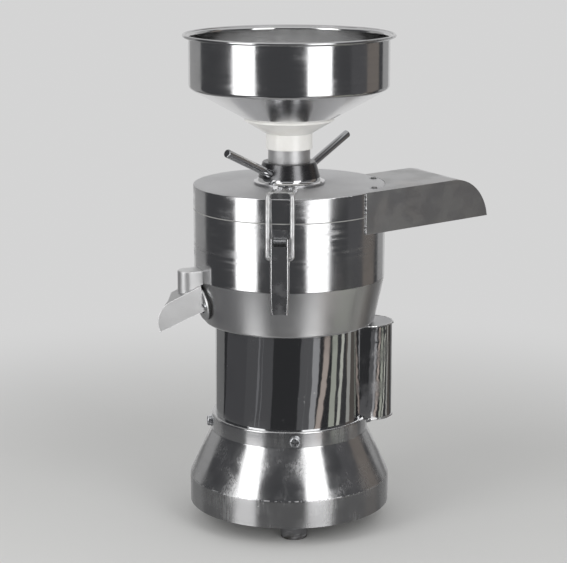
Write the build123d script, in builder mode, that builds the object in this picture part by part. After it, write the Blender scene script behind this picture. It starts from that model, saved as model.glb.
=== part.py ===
from build123d import *
import os
from math import cos, hypot, radians, sin, tan

# Soybean grinder that parts the milk from the dregs: millimetres, Z up, origin on the machine's
# upright axis at the level that the feet stand on, front towards -Y

# Sheet thicknesses
body_sheet = 1.5
skin_sheet = 1.2
hopper_sheet = 1.2
spout_sheet = 1.2
chute_sheet = 1.2
basket_sheet = 1.0

# Clearances
seat_gap = 0.1
running_gap = 0.05
body_gap = 0.3

# Overall sizes
stand_height = 135.0
motor_height = 117.0
bowl_depth = 139.0
lid_depth = 29.0
stem_rise = 56.0
hopper_cone_rise = 60.0
hopper_wall_height = 64.0
bell_radius = 123.0
skin_radius = 91.0
bowl_radius = 116.0
hopper_radius = 120.3
stem_radius = 25.4
stone_radius = 50.0

# Heights that follow from them
collar_top = stand_height
bowl_bottom = collar_top + motor_height
seam_height = bowl_bottom + bowl_depth
lid_top = seam_height + lid_depth
stem_top = lid_top + stem_rise
hopper_bend = stem_top + hopper_cone_rise
overall_height = hopper_bend + hopper_wall_height

# Stand: four rubber feet, bottom plate, flared bell with a collar
stand_turn = 4.0
foot_height = 24.0
foot_radius = 18.0
foot_circle = bell_radius - 41
foot_count = 4
bell_band_top = collar_top - 78
collar_radius = skin_radius + 5.2
collar_bottom = collar_top - 20
screw_height = collar_top - 11.4
bottom_plate_sheet = 2.0
bottom_plate_recess = 2.0

# Motor
shield_flange_bottom = collar_top - 19
shield_flange_top = collar_top - 6
shield_spigot = 7.0
bearing_radius = 23.5
bearing_width = 14.0
journal_radius = 10.0
shaft_middle_radius = 14.0
stator_length = motor_height - 53
stator_bore_radius = skin_radius - 38.7
air_gap = 0.5
core_bottom = collar_top + 17
winding_height = 15.0
upper_bearing_bottom = bowl_bottom - 16
lower_bearing_bottom = collar_top - 23

# Capacitor box on the right of the motor
box_centre_x = skin_radius + 6
box_radius = 29.5
box_bottom = collar_top - 4
box_top = bowl_bottom - 3
capacitor_radius = 16.0
capacitor_length = motor_height - 29

# Bowl and lid
bowl_floor_radius = bowl_radius - 11.7
bowl_crease = bowl_bottom + 57
gasket_thickness = 1.2
spigot_depth = 10.0
lid_bend = 1.4

# Dregs chute: leaves the lid along a tangent
chute_azimuth = 40.0
chute_outer_side = 1.8 - bowl_radius
chute_inner_side = -10.0
chute_bottom = lid_top - 50
chute_outer_reach = bowl_radius + 50
chute_inner_reach = bowl_radius + 71
chute_mouth_run = 59.0
chute_opening_margin = 6.0
tongue_margin = 2.0
rivet_circle = bowl_radius - 8

# Milk spout on the front left
spout_azimuth = 201.5
spout_height = bowl_bottom + 30
spout_flange_radius = 22.0
spout_flange_sheet = 2.0
spout_bore_radius = 13.0
spout_width = 30.0
spout_mouth_turn = 27.0
outlet_box_radius = 12.5
outlet_box_reach = bowl_radius + 14
outlet_box_top = spout_height + 41

# Rotor inside the bowl
seat_shoulder = bowl_bottom + 12
seat_radius = 8.0
carrier_radius = stone_radius + 12
carrier_bottom = bowl_bottom + 40
carrier_sheet = 8.0
stone_thickness = 20.0
stone_bore_radius = stem_radius - 6.4
stone_gap = 1.0
basket_top = lid_top - 46
basket_top_radius = bowl_radius - 12

# Feed stem, adjusting nut and hopper
stem_bore_radius = stone_bore_radius
hub_flange_radius = stem_radius + 14.6
hub_flange_thickness = 1.7
hub_radius = stem_radius + 5.6
hub_drop = 20.0
nut_foot_radius = stem_radius + 17.5
nut_waist_radius = stem_radius + 12
nut_top_radius = stem_radius + 7.1
nut_waist = lid_top + 8.4
nut_top = lid_top + 26.7
rod_radius = 5.0
rod_azimuth = 49.0
rod_rise_angle = 24.1
rod_root = (nut_top_radius + 2.5, lid_top + 15)
rod_reach = rod_root[0] + 75
hopper_throat_radius = stem_bore_radius + 1.2
hopper_throat_rise = 4.2
rim_reach = 5.5
bead_radius = 2.1
seat_rim_radius = stem_radius + 28.9
seat_tube_radius = stem_radius + 2.6
seat_tube_bottom = stem_top - 13.5
seat_flare = stem_top + 5

# Draw latches, front and rear
latch_azimuths = {"front": -95.0, "rear": 85.0}
latch_pivot = (bowl_radius + 8, seam_height - 19)
bail_pivot = (latch_pivot[0], latch_pivot[1] - 20)
latch_pin_radius = 2.0
bail_wire_radius = 2.5
bail_half_width = 14.5
bail_lip_gap = 1.1
bail_rest_gap = 0.9
lever_half_width = 10.8
lever_tip_half_width = 9.8
lever_sheet = 1.5
lever_bend = 2.2
tongue_flange = 2.0
lever_tip = latch_pivot[1] - 85
lever_channel_end = latch_pivot[1] - 66
base_bottom = latch_pivot[1] - 34
base_top = latch_pivot[1] + 12
catch_sheet = 1.5
catch_half_width = 15.0
catch_lip_half_width = 11.0
catch_lip_corner = 4.0
catch_lip_radius = bowl_radius - 1.5
catch_lip_height = 5.5
catch_root = nut_foot_radius + 2.1

# Switch and cord entry at the back
switch_azimuth = 90.0
gland_azimuth = 60.0
gland_height = foot_height + 17
gland_radius = 9.0
gland_bore_radius = 4.0


def upright(azimuth):
    """The upright half-plane at an azimuth: x runs out from the axis, y runs up."""
    angle = radians(azimuth)
    return Plane(origin=(0, 0, 0), x_dir=(cos(angle), sin(angle), 0), z_dir=(sin(angle), -cos(angle), 0))


def facing(azimuth, radius, height):
    """A plane that faces out at an azimuth: x runs anticlockwise, y runs up."""
    out = Vector(1, 0, 0).rotate(Axis.Z, azimuth)
    return Plane(origin=out * radius + Vector(0, 0, height), x_dir=out.rotate(Axis.Z, 90), z_dir=out)


def sheet_section(points, bends, sheet):
    """The cut face of a bent sheet whose middle line runs through the points, to be revolved."""
    with BuildSketch(Plane.XZ) as section:
        with BuildLine():
            FilletPolyline(*points, radius=bends)
        trace(line_width=sheet)
    return section.sketch


def write_piece(piece, name):
    piece.part.label = name
    export_step(piece.part, f"parts/{name}.step")


os.makedirs("parts", exist_ok=True)
half_sheet = body_sheet / 2
plate_bottom = foot_height + bottom_plate_recess
plate_top = plate_bottom + bottom_plate_sheet
skin_inner = skin_radius - skin_sheet
bowl_inner = bowl_radius - body_sheet
core_top = core_bottom + stator_length
stand_azimuths = [stand_turn - 90 + 360 / foot_count * k for k in range(foot_count)]

# Feet: turned-in rubber cones with a hole for their screw
foot_screw_radius = 3.0
foot_screw_head = 6.0
foot_recess = 8.0
standing = (Align.CENTER, Align.CENTER, Align.MIN)
with BuildPart() as feet:
    with PolarLocations(foot_circle, foot_count, stand_turn - 90):
        Cone(foot_radius - 2, foot_radius, plate_bottom, align=standing)
    fillet(feet.edges().filter_by(GeomType.CIRCLE).group_by(Axis.Z)[0], 1.5)
    with PolarLocations(foot_circle, foot_count, stand_turn - 90):
        Cylinder(foot_screw_head + 1, foot_recess, align=standing, mode=Mode.SUBTRACT)
        Cylinder(foot_screw_radius + seat_gap, plate_bottom, align=standing, mode=Mode.SUBTRACT)
write_piece(feet, "feet")

# Foot screws: pan heads up inside the rubber, nuts above the bottom plate
foot_nut_height = 5.0
with BuildPart() as foot_screws:
    with BuildSketch(Plane.XY.offset(foot_recess - 4)):
        with PolarLocations(foot_circle, foot_count, stand_turn - 90):
            Circle(foot_screw_head)
    extrude(amount=4)
    with BuildSketch(Plane.XY.offset(foot_recess)):
        with PolarLocations(foot_circle, foot_count, stand_turn - 90):
            Circle(foot_screw_radius)
    extrude(amount=plate_top + foot_nut_height + 3 - foot_recess)
    with BuildSketch(Plane.XY.offset(plate_top)):
        with PolarLocations(foot_circle, foot_count, stand_turn - 90):
            RegularPolygon(6.2, 6)
    extrude(amount=foot_nut_height)
write_piece(foot_screws, "foot_screws")

# Bottom plate: pressed disc with cooling slots
vent_count = 12
with BuildPart() as bottom_plate:
    with BuildSketch(Plane.XY.offset(plate_bottom)):
        Circle(bell_radius - body_sheet - seat_gap)
        with PolarLocations(foot_circle, foot_count, stand_turn - 90):
            Circle(foot_screw_radius + seat_gap, mode=Mode.SUBTRACT)
        with PolarLocations(foot_circle - 40, vent_count):
            SlotOverall(24, 6, mode=Mode.SUBTRACT)
    extrude(amount=bottom_plate_sheet)
write_piece(bottom_plate, "bottom_plate")

# Base bell: spun sheet, a straight band, a flare, a collar and a lip that closes on the motor skin
bell_middle = bell_radius - half_sheet
collar_middle = collar_radius - half_sheet
collar_screw_radius = 2.5
bell_normal = Vector(collar_bottom - bell_band_top, 0, bell_radius - collar_radius).normalized()
switch_bush_radius = 6.0
switch_height = (bell_band_top + collar_bottom) / 2
switch_plane = Plane(
    origin=Vector((bell_radius + collar_radius) / 2, 0, switch_height).rotate(Axis.Z, switch_azimuth),
    x_dir=Vector(0, 1, 0).rotate(Axis.Z, switch_azimuth),
    z_dir=bell_normal.rotate(Axis.Z, switch_azimuth),
)
with BuildPart() as base_bell:
    lip_end = skin_radius + seat_gap
    bell_line = [
        (bell_middle, foot_height),
        (bell_middle, bell_band_top),
        (collar_middle, collar_bottom),
        (collar_middle, collar_top - half_sheet),
        (lip_end, collar_top - half_sheet),
    ]
    revolve(sheet_section(bell_line, [5, 4, 1.4], body_sheet), axis=Axis.Z)
    for azimuth in stand_azimuths:
        with BuildSketch(facing(azimuth, collar_radius - 6, screw_height)):
            Circle(collar_screw_radius + seat_gap)
        extrude(amount=12, mode=Mode.SUBTRACT)
    with BuildSketch(switch_plane):
        Circle(switch_bush_radius + seat_gap)
    extrude(amount=8, both=True, mode=Mode.SUBTRACT)
    with BuildSketch(facing(gland_azimuth, bell_radius - 8, gland_height)):
        Circle(gland_radius - 2 + seat_gap)
    extrude(amount=16, mode=Mode.SUBTRACT)
write_piece(base_bell, "base_bell")

# Collar washers and pan head screws
washer_radius = 7.2
washer_thickness = 1.2
pan_radius = 6.4
pan_height = 4.5
head_top = collar_radius + washer_thickness + pan_height
with BuildPart() as collar_washers:
    for azimuth in stand_azimuths:
        with BuildSketch(facing(azimuth, collar_radius, screw_height)):
            Circle(washer_radius)
            Circle(collar_screw_radius + seat_gap, mode=Mode.SUBTRACT)
        extrude(amount=washer_thickness)
write_piece(collar_washers, "collar_washers")

with BuildPart() as collar_screws:
    for azimuth in stand_azimuths:
        with BuildSketch(facing(azimuth, collar_radius + washer_thickness, screw_height)):
            Circle(pan_radius)
        extrude(amount=pan_height)
    rims = collar_screws.edges().filter_by(GeomType.CIRCLE)
    fillet([rim for rim in rims if hypot(rim.center().X, rim.center().Y) > head_top - 0.1], 2)
    for azimuth in stand_azimuths:
        with BuildSketch(facing(azimuth, head_top, screw_height)):
            Rectangle(9, 1.6)
            Rectangle(1.6, 9)
        extrude(amount=-2, mode=Mode.SUBTRACT)
        with BuildSketch(facing(azimuth, collar_radius - 13, screw_height)):
            Circle(collar_screw_radius)
        extrude(amount=13 + washer_thickness)
write_piece(collar_screws, "collar_screws")

# Lower end shield: cast disc that the collar screws hold, with the lower bearing's housing
shield_radius = collar_radius - body_sheet - seat_gap
housing_wall = 7.0
with BuildPart() as lower_end_shield:
    with BuildSketch(Plane.XY.offset(shield_flange_bottom)):
        Circle(shield_radius)
        Circle(journal_radius + 3, mode=Mode.SUBTRACT)
    extrude(amount=shield_flange_top - shield_flange_bottom)
    with BuildSketch(Plane.XY.offset(shield_flange_top)):
        Circle(skin_inner - seat_gap)
        Circle(skin_inner - 6, mode=Mode.SUBTRACT)
    extrude(amount=shield_spigot)
    with BuildSketch(Plane.XY.offset(lower_bearing_bottom - 4)):
        Circle(bearing_radius + housing_wall)
    extrude(amount=bearing_width + 4)
    with BuildSketch(Plane.XY.offset(lower_bearing_bottom)):
        Circle(bearing_radius + running_gap)
    extrude(amount=shield_flange_top, mode=Mode.SUBTRACT)
    with BuildSketch(Plane.XY.offset(lower_bearing_bottom - 4)):
        Circle(journal_radius + 3)
    extrude(amount=10, mode=Mode.SUBTRACT)
    with BuildSketch(Plane.XY.offset(shield_flange_bottom)):
        with PolarLocations(skin_radius - 33, 8, 22.5):
            Circle(13)
    extrude(amount=shield_flange_top, mode=Mode.SUBTRACT)
    for azimuth in stand_azimuths:
        with BuildSketch(facing(azimuth, shield_radius - 14, screw_height)):
            Circle(collar_screw_radius + running_gap)
        extrude(amount=20, mode=Mode.SUBTRACT)
write_piece(lower_end_shield, "lower_end_shield")

# Upper end shield: closes the motor under the bowl and holds the upper bearing
shield_web = 6.0
bowl_screw_circle = skin_radius - 15
bowl_screw_radius = 2.5
with BuildPart() as upper_end_shield:
    with BuildSketch(Plane.XY.offset(bowl_bottom - shield_web)):
        Circle(skin_inner - seat_gap)
    extrude(amount=shield_web)
    with BuildSketch(Plane.XY.offset(upper_bearing_bottom)):
        Circle(bearing_radius + housing_wall)
    extrude(amount=bowl_bottom - upper_bearing_bottom)
    with BuildSketch(Plane.XY.offset(bowl_bottom - 14)):
        Circle(skin_inner - seat_gap)
        Circle(skin_inner - 6, mode=Mode.SUBTRACT)
    extrude(amount=14)
    with BuildSketch(Plane.XY.offset(upper_bearing_bottom)):
        Circle(bearing_radius + running_gap)
    extrude(amount=bearing_width, mode=Mode.SUBTRACT)
    with BuildSketch(Plane.XY.offset(upper_bearing_bottom)):
        Circle(journal_radius + 2)
    extrude(amount=40, mode=Mode.SUBTRACT)
    with BuildSketch(Plane.XY.offset(bowl_bottom - shield_web)):
        with PolarLocations(bowl_screw_circle, 4, 45):
            Circle(bowl_screw_radius + running_gap)
    extrude(amount=40, mode=Mode.SUBTRACT)
write_piece(upper_end_shield, "upper_end_shield")

# Motor skin: polished tube between the end shields
with BuildPart() as motor_skin:
    with BuildSketch(Plane.XY.offset(shield_flange_top)):
        Circle(skin_radius)
        Circle(skin_inner, mode=Mode.SUBTRACT)
    extrude(amount=bowl_bottom - shield_flange_top)
write_piece(motor_skin, "motor_skin")

# Stator core: laminated ring with winding slots
slot_count = 24
with BuildPart() as stator_core:
    with BuildSketch(Plane.XY.offset(core_bottom)):
        Circle(skin_inner - seat_gap)
        Circle(stator_bore_radius, mode=Mode.SUBTRACT)
        with PolarLocations(stator_bore_radius + 11.7, slot_count):
            Rectangle(18, 6, mode=Mode.SUBTRACT)
    extrude(amount=stator_length)
write_piece(stator_core, "stator_core")

# Stator windings: the two rings of end turns
with BuildPart() as stator_windings:
    for bottom in (core_bottom - winding_height, core_top):
        with BuildSketch(Plane.XY.offset(bottom)):
            Circle(stator_bore_radius + 23.7)
            Circle(stator_bore_radius + 3.7, mode=Mode.SUBTRACT)
        extrude(amount=winding_height)
    fillet(stator_windings.edges().filter_by(GeomType.CIRCLE).group_by(Axis.Z)[0], 5)
    fillet(stator_windings.edges().filter_by(GeomType.CIRCLE).group_by(Axis.Z)[-1], 5)
write_piece(stator_windings, "stator_windings")

# Bearings: one closed unit at each end of the rotor
for name, bottom in (("lower_bearing", lower_bearing_bottom), ("upper_bearing", upper_bearing_bottom)):
    with BuildPart() as bearing:
        with BuildSketch(Plane.XY.offset(bottom)):
            Circle(bearing_radius)
            Circle(journal_radius + running_gap, mode=Mode.SUBTRACT)
        extrude(amount=bearing_width)
        for face_height, depth in ((bottom, 0.6), (bottom + bearing_width, -0.6)):
            with BuildSketch(Plane.XY.offset(face_height)):
                Circle(bearing_radius - 3)
                Circle(journal_radius + 3, mode=Mode.SUBTRACT)
            extrude(amount=depth, mode=Mode.SUBTRACT)
    write_piece(bearing, name)

# Motor shaft: journals, a thick middle, a stepped end and a threaded tip
nut_seat = carrier_bottom + carrier_sheet + stone_thickness
shaft_bottom = lower_bearing_bottom - 2
lower_shoulder = lower_bearing_bottom + bearing_width + 1
upper_shoulder = upper_bearing_bottom - 1
tip_radius = 6.0
stone_nut_height = 8.0
with BuildPart() as motor_shaft:
    with BuildSketch(Plane.XZ):
        with BuildLine():
            Polyline(
                (0, shaft_bottom),
                (journal_radius, shaft_bottom),
                (journal_radius, lower_shoulder),
                (shaft_middle_radius, lower_shoulder),
                (shaft_middle_radius, upper_shoulder),
                (journal_radius, upper_shoulder),
                (journal_radius, seat_shoulder),
                (seat_radius, seat_shoulder),
                (seat_radius, nut_seat),
                (tip_radius, nut_seat),
                (tip_radius, nut_seat + stone_nut_height + 3),
                (0, nut_seat + stone_nut_height + 3),
                close=True,
            )
        make_face()
    revolve(axis=Axis.Z)
write_piece(motor_shaft, "motor_shaft")

# Rotor core: laminated cylinder with end rings
with BuildPart() as rotor_core:
    with BuildSketch(Plane.XY.offset(core_bottom)):
        Circle(stator_bore_radius - air_gap)
        Circle(shaft_middle_radius + running_gap, mode=Mode.SUBTRACT)
    extrude(amount=stator_length)
    for ring_bottom in (core_bottom - 6, core_top):
        with BuildSketch(Plane.XY.offset(ring_bottom)):
            Circle(stator_bore_radius - air_gap - 2)
            Circle(stator_bore_radius - 14, mode=Mode.SUBTRACT)
        extrude(amount=6)
write_piece(rotor_core, "rotor_core")

# Cooling fan: hub, disc and straight blades under the rotor core
fan_blades = 8
fan_bottom = shield_flange_top + 1
fan_height = 12.0
fan_radius = stator_bore_radius - 2.3
with BuildPart() as cooling_fan:
    with BuildSketch(Plane.XY.offset(fan_bottom)):
        Circle(shaft_middle_radius + 5)
    extrude(amount=fan_height)
    with BuildSketch(Plane.XY.offset(fan_bottom + fan_height - 2)):
        Circle(fan_radius)
    extrude(amount=2)
    with BuildSketch(Plane.XY.offset(fan_bottom)):
        with PolarLocations(fan_radius - 17, fan_blades):
            Rectangle(34, 2)
    extrude(amount=fan_height)
    with BuildSketch(Plane.XY.offset(fan_bottom)):
        Circle(shaft_middle_radius + running_gap)
    extrude(amount=fan_height, mode=Mode.SUBTRACT)
write_piece(cooling_fan, "cooling_fan")

# Capacitor box: half-round shell against the motor skin, with its two end caps


def box_outline(offset_in):
    """Plan of the box: straight sides off the motor skin and a half-round end."""
    with BuildSketch() as plan:
        with Locations((box_centre_x, 0)):
            Circle(box_radius - offset_in)
        with Locations((box_centre_x - 20, 0)):
            Rectangle(40, 2 * (box_radius - offset_in))
        Circle(skin_radius + seat_gap, mode=Mode.SUBTRACT)
    return plan.sketch


cap_sheet = 1.5
with BuildPart() as capacitor_box:
    with BuildSketch(Plane.XY.offset(box_bottom + cap_sheet)):
        add(box_outline(0))
        add(box_outline(skin_sheet), mode=Mode.SUBTRACT)
    extrude(amount=box_top - box_bottom - 2 * cap_sheet)
    with BuildSketch(Plane.XY.offset(box_bottom)):
        Circle(collar_radius + body_gap)
    extrude(amount=collar_top - box_bottom + body_gap, mode=Mode.SUBTRACT)
write_piece(capacitor_box, "capacitor_box")

with BuildPart() as capacitor_box_caps:
    for cap_bottom in (box_bottom, box_top - cap_sheet):
        with BuildSketch(Plane.XY.offset(cap_bottom)):
            add(box_outline(-0.8))
        extrude(amount=cap_sheet)
    with BuildSketch(Plane.XY.offset(box_bottom)):
        Circle(collar_radius + body_gap)
    extrude(amount=collar_top - box_bottom + body_gap, mode=Mode.SUBTRACT)
write_piece(capacitor_box_caps, "capacitor_box_caps")

with BuildPart() as capacitor:
    capacitor_x = box_centre_x + box_radius - skin_sheet - seat_gap - capacitor_radius
    with BuildSketch(Plane.XY.offset(collar_top + body_gap)):
        with Locations((capacitor_x, 0)):
            Circle(capacitor_radius)
    extrude(amount=capacitor_length)
    fillet(capacitor.edges().group_by(Axis.Z)[-1], 2)
write_piece(capacitor, "capacitor")

# Switch: body inside the bell, threaded bush through it, ring nut and toggle outside
switch_body_top = 4.0
with BuildPart() as power_switch:
    with BuildSketch(switch_plane.offset(-switch_body_top)):
        RectangleRounded(28, 20, 1.5)
    extrude(amount=-22)
    with BuildSketch(switch_plane.offset(-switch_body_top)):
        Circle(switch_bush_radius)
    extrude(amount=10 + switch_body_top)
    with BuildSketch(switch_plane.offset(10)):
        Circle(3.6)
    extrude(amount=-8, mode=Mode.SUBTRACT)
write_piece(power_switch, "power_switch")

with BuildPart() as switch_nut:
    with BuildSketch(switch_plane.offset(1.0)):
        RegularPolygon(10, 6)
        Circle(switch_bush_radius + running_gap, mode=Mode.SUBTRACT)
    extrude(amount=3)
write_piece(switch_nut, "switch_nut")

with BuildPart() as switch_toggle:
    toggle_pivot = 4.5
    with Locations(switch_plane.offset(toggle_pivot)):
        Sphere(2.0)
    with BuildSketch(switch_plane.offset(toggle_pivot)):
        Circle(1.3)
    with BuildSketch(switch_plane.offset(toggle_pivot + 17)):
        Circle(2.6)
    loft()
    with Locations(switch_plane.offset(toggle_pivot + 17)):
        Sphere(2.6)
write_piece(switch_toggle, "switch_toggle")

# Cord entry: gland body through the band and its domed cap
with BuildPart() as cable_gland:
    with BuildSketch(facing(gland_azimuth, bell_radius - body_sheet - 6, gland_height)):
        Circle(gland_radius - 2)
    extrude(amount=18)
    with BuildSketch(facing(gland_azimuth, bell_radius + 0.4, gland_height)):
        RegularPolygon(gland_radius + 2, 6)
    extrude(amount=4)
    with BuildSketch(facing(gland_azimuth, bell_radius - body_sheet - 6, gland_height)):
        RegularPolygon(gland_radius + 1, 6)
    extrude(amount=4)
    with BuildSketch(facing(gland_azimuth, bell_radius - 12, gland_height)):
        Circle(gland_bore_radius)
    extrude(amount=40, mode=Mode.SUBTRACT)
write_piece(cable_gland, "cable_gland")

with BuildPart() as gland_cap:
    cap_start = bell_radius + 0.4 + 4
    with BuildSketch(facing(gland_azimuth, cap_start, gland_height)):
        Circle(gland_radius)
    extrude(amount=11)
    fillet(gland_cap.faces().sort_by(Axis((0, 0, 0), facing(gland_azimuth, 1, 0).z_dir))[-1].edges(), 4)
    with BuildSketch(facing(gland_azimuth, cap_start, gland_height)):
        Circle(gland_radius - 2 + running_gap)
    extrude(amount=7, mode=Mode.SUBTRACT)
    with BuildSketch(facing(gland_azimuth, cap_start, gland_height)):
        Circle(gland_bore_radius)
    extrude(amount=30, mode=Mode.SUBTRACT)
write_piece(gland_cap, "gland_cap")

# Chute frame: along runs out of the lid, side runs to the left of it
chute_along = Vector(1, 0, 0).rotate(Axis.Z, chute_azimuth)
chute_side = Vector(0, 1, 0).rotate(Axis.Z, chute_azimuth)
chute_plan = Plane(origin=(0, 0, chute_bottom), x_dir=chute_along, z_dir=(0, 0, 1))
chute_height = lid_top - chute_bottom
chute_skew = (chute_inner_reach - chute_outer_reach) / (chute_inner_side - chute_outer_side)


def chute_block(outer_side, inner_side, plane, height):
    """The chute's plan between two sides, raised from a plane."""
    far = chute_inner_reach + 2 * chute_mouth_run
    with BuildPart() as block:
        with BuildSketch(plane):
            with BuildLine():
                Polyline(
                    (20, outer_side),
                    (far, outer_side),
                    (far, inner_side),
                    (20, inner_side),
                    close=True,
                )
            make_face()
        extrude(amount=height)
    return block.part


def spout_hole_plane(distance):
    """The plane parallel to the bowl's cone wall at the spout, seen from outside."""
    wall_angle = (bowl_radius - bowl_floor_radius) / (bowl_crease - bowl_bottom)
    out = Vector(1, 0, 0).rotate(Axis.Z, spout_azimuth)
    normal = (out - Vector(0, 0, wall_angle)).normalized()
    wall_radius = bowl_floor_radius + wall_angle * (spout_height - bowl_bottom)
    centre = out * wall_radius + Vector(0, 0, spout_height)
    return Plane(origin=centre + normal * distance, x_dir=out.rotate(Axis.Z, 90), z_dir=normal)


# Bowl: floor, cone and straight wall, with the spout's hole and the dregs notch in its edge
bowl_edge = seam_height - gasket_thickness / 2
bowl_middle = bowl_radius - half_sheet
bowl_line = [
    (journal_radius + 8, bowl_bottom + half_sheet),
    (bowl_floor_radius - half_sheet, bowl_bottom + half_sheet),
    (bowl_middle, bowl_crease),
    (bowl_middle, bowl_edge),
]
opening_outer = chute_outer_side + chute_opening_margin
opening_inner = chute_inner_side - chute_opening_margin
notch_plane = chute_plan.offset(2)
with BuildPart() as bowl:
    revolve(sheet_section(bowl_line, [3, 4], body_sheet), axis=Axis.Z)
    with BuildSketch(spout_hole_plane(-12)):
        Circle(spout_bore_radius)
    extrude(amount=24, mode=Mode.SUBTRACT)
    with BuildSketch(Plane.XY.offset(bowl_bottom)):
        with PolarLocations(bowl_screw_circle, 4, 45):
            Circle(bowl_screw_radius + seat_gap)
    extrude(amount=body_sheet, mode=Mode.SUBTRACT)
    add(chute_block(opening_outer, opening_inner, notch_plane, 60), mode=Mode.SUBTRACT)
write_piece(bowl, "bowl")

# Bowl screws and the shaft seal in the floor
floor_top = bowl_bottom + body_sheet
with BuildPart() as bowl_screws:
    with BuildSketch(Plane.XY.offset(floor_top)):
        with PolarLocations(bowl_screw_circle, 4, 45):
            Circle(5)
    extrude(amount=3)
    fillet(bowl_screws.edges().group_by(Axis.Z)[-1], 1.2)
    with BuildSketch(Plane.XY.offset(bowl_bottom - shield_web)):
        with PolarLocations(bowl_screw_circle, 4, 45):
            Circle(bowl_screw_radius)
    extrude(amount=shield_web + body_sheet)
write_piece(bowl_screws, "bowl_screws")

seal_height = 6.0
with BuildPart() as shaft_seal:
    with BuildSketch(Plane.XY.offset(bowl_bottom)):
        Circle(journal_radius + 8 - seat_gap)
    extrude(amount=body_sheet)
    with BuildSketch(Plane.XY.offset(floor_top)):
        Circle(journal_radius + 11)
    extrude(amount=seal_height)
    fillet(shaft_seal.edges().group_by(Axis.Z)[-1], 2)
    with BuildSketch(Plane.XY.offset(bowl_bottom)):
        Circle(journal_radius + running_gap)
    extrude(amount=20, mode=Mode.SUBTRACT)
write_piece(shaft_seal, "shaft_seal")

# Milk spout: gasket cut to the cone wall, round flange with three screws, and a hood that slopes down
gasket_reach = 2.0
with BuildPart() as spout_gasket:
    with BuildSketch(spout_hole_plane(-8)):
        Circle(spout_flange_radius)
        Circle(spout_bore_radius, mode=Mode.SUBTRACT)
    extrude(amount=8 + gasket_reach)
    with BuildSketch(Plane.XZ):
        with BuildLine():
            Polyline(
                (0, bowl_bottom - 20),
                (bowl_floor_radius - 4.0, bowl_bottom - 20),
                (bowl_floor_radius + seat_gap, bowl_bottom),
                (bowl_radius + seat_gap, bowl_crease),
                (bowl_radius + seat_gap, bowl_crease + 40),
                (0, bowl_crease + 40),
                close=True,
            )
        make_face()
    revolve(axis=Axis.Z, mode=Mode.SUBTRACT)
write_piece(spout_gasket, "spout_gasket")

with BuildPart() as spout_flange:
    with BuildSketch(spout_hole_plane(gasket_reach)):
        Circle(spout_flange_radius)
        Circle(spout_bore_radius, mode=Mode.SUBTRACT)
    extrude(amount=spout_flange_sheet)
write_piece(spout_flange, "spout_flange")

spout_screw_circle = 18.5
with BuildPart() as spout_screws:
    with BuildSketch(spout_hole_plane(gasket_reach + spout_flange_sheet)):
        with PolarLocations(spout_screw_circle, 2, 0):
            Circle(2.6)
    extrude(amount=2.4)
    fillet(spout_screws.edges().filter_by(GeomType.CIRCLE).group_by(SortBy.DISTANCE)[-1], 0.8)
write_piece(spout_screws, "spout_screws")

# Spout hood outline, out from the axis and up, and its nose, skewed in plan
spout_top_inner = (bowl_radius + 2.8, spout_height + 23.1)
spout_top_outer = (bowl_radius + 74, spout_height - 7)
spout_bottom_outer = (bowl_radius + 74, spout_height - 36.2)
spout_bottom_inner = (bowl_radius - 3.4, spout_height - 7)
nose_top = (bowl_radius + 21.5, spout_height + 4.8)
nose_middle = (bowl_radius + 31.2, spout_height - 13)
nose_tip = (bowl_radius + 28.9, spout_height - 28.7)
with BuildPart() as milk_spout:
    with BuildSketch(upright(spout_azimuth)):
        with BuildLine():
            Polyline(spout_bottom_inner, spout_top_inner, spout_top_outer, spout_bottom_outer, close=True)
        make_face()
    extrude(amount=spout_width / 2, both=True)
    with BuildSketch(upright(spout_azimuth - spout_mouth_turn)):
        with BuildLine():
            Line((0, spout_height + 40), (nose_top[0], spout_height + 40))
            Line((nose_top[0], spout_height + 40), nose_top)
            ThreePointArc(nose_top, nose_middle, nose_tip)
            Polyline(nose_tip, (nose_tip[0], spout_height - 60), (0, spout_height - 60))
            Line((0, spout_height - 60), (0, spout_height + 40))
        make_face()
    extrude(amount=200, both=True, mode=Mode.INTERSECT)
    spout_fall = (spout_top_inner[1] - spout_top_outer[1]) / (spout_top_outer[0] - spout_top_inner[0])
    inner_top = spout_top_inner[1] - spout_sheet * hypot(1, spout_fall)
    with BuildSketch(upright(spout_azimuth)):
        with BuildLine():
            Polyline(
                (spout_top_inner[0] - 20, inner_top + 20 * spout_fall),
                (spout_top_inner[0] + 80, inner_top - 80 * spout_fall),
                (spout_top_inner[0] + 80, spout_height - 62),
                (spout_top_inner[0] - 20, spout_height - 62),
                close=True,
            )
        make_face()
    extrude(amount=spout_width / 2 - spout_sheet, both=True, mode=Mode.SUBTRACT)
    with BuildSketch(spout_hole_plane(gasket_reach + spout_flange_sheet)):
        Circle(60)
    extrude(amount=-40, mode=Mode.SUBTRACT)
write_piece(milk_spout, "milk_spout")

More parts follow.
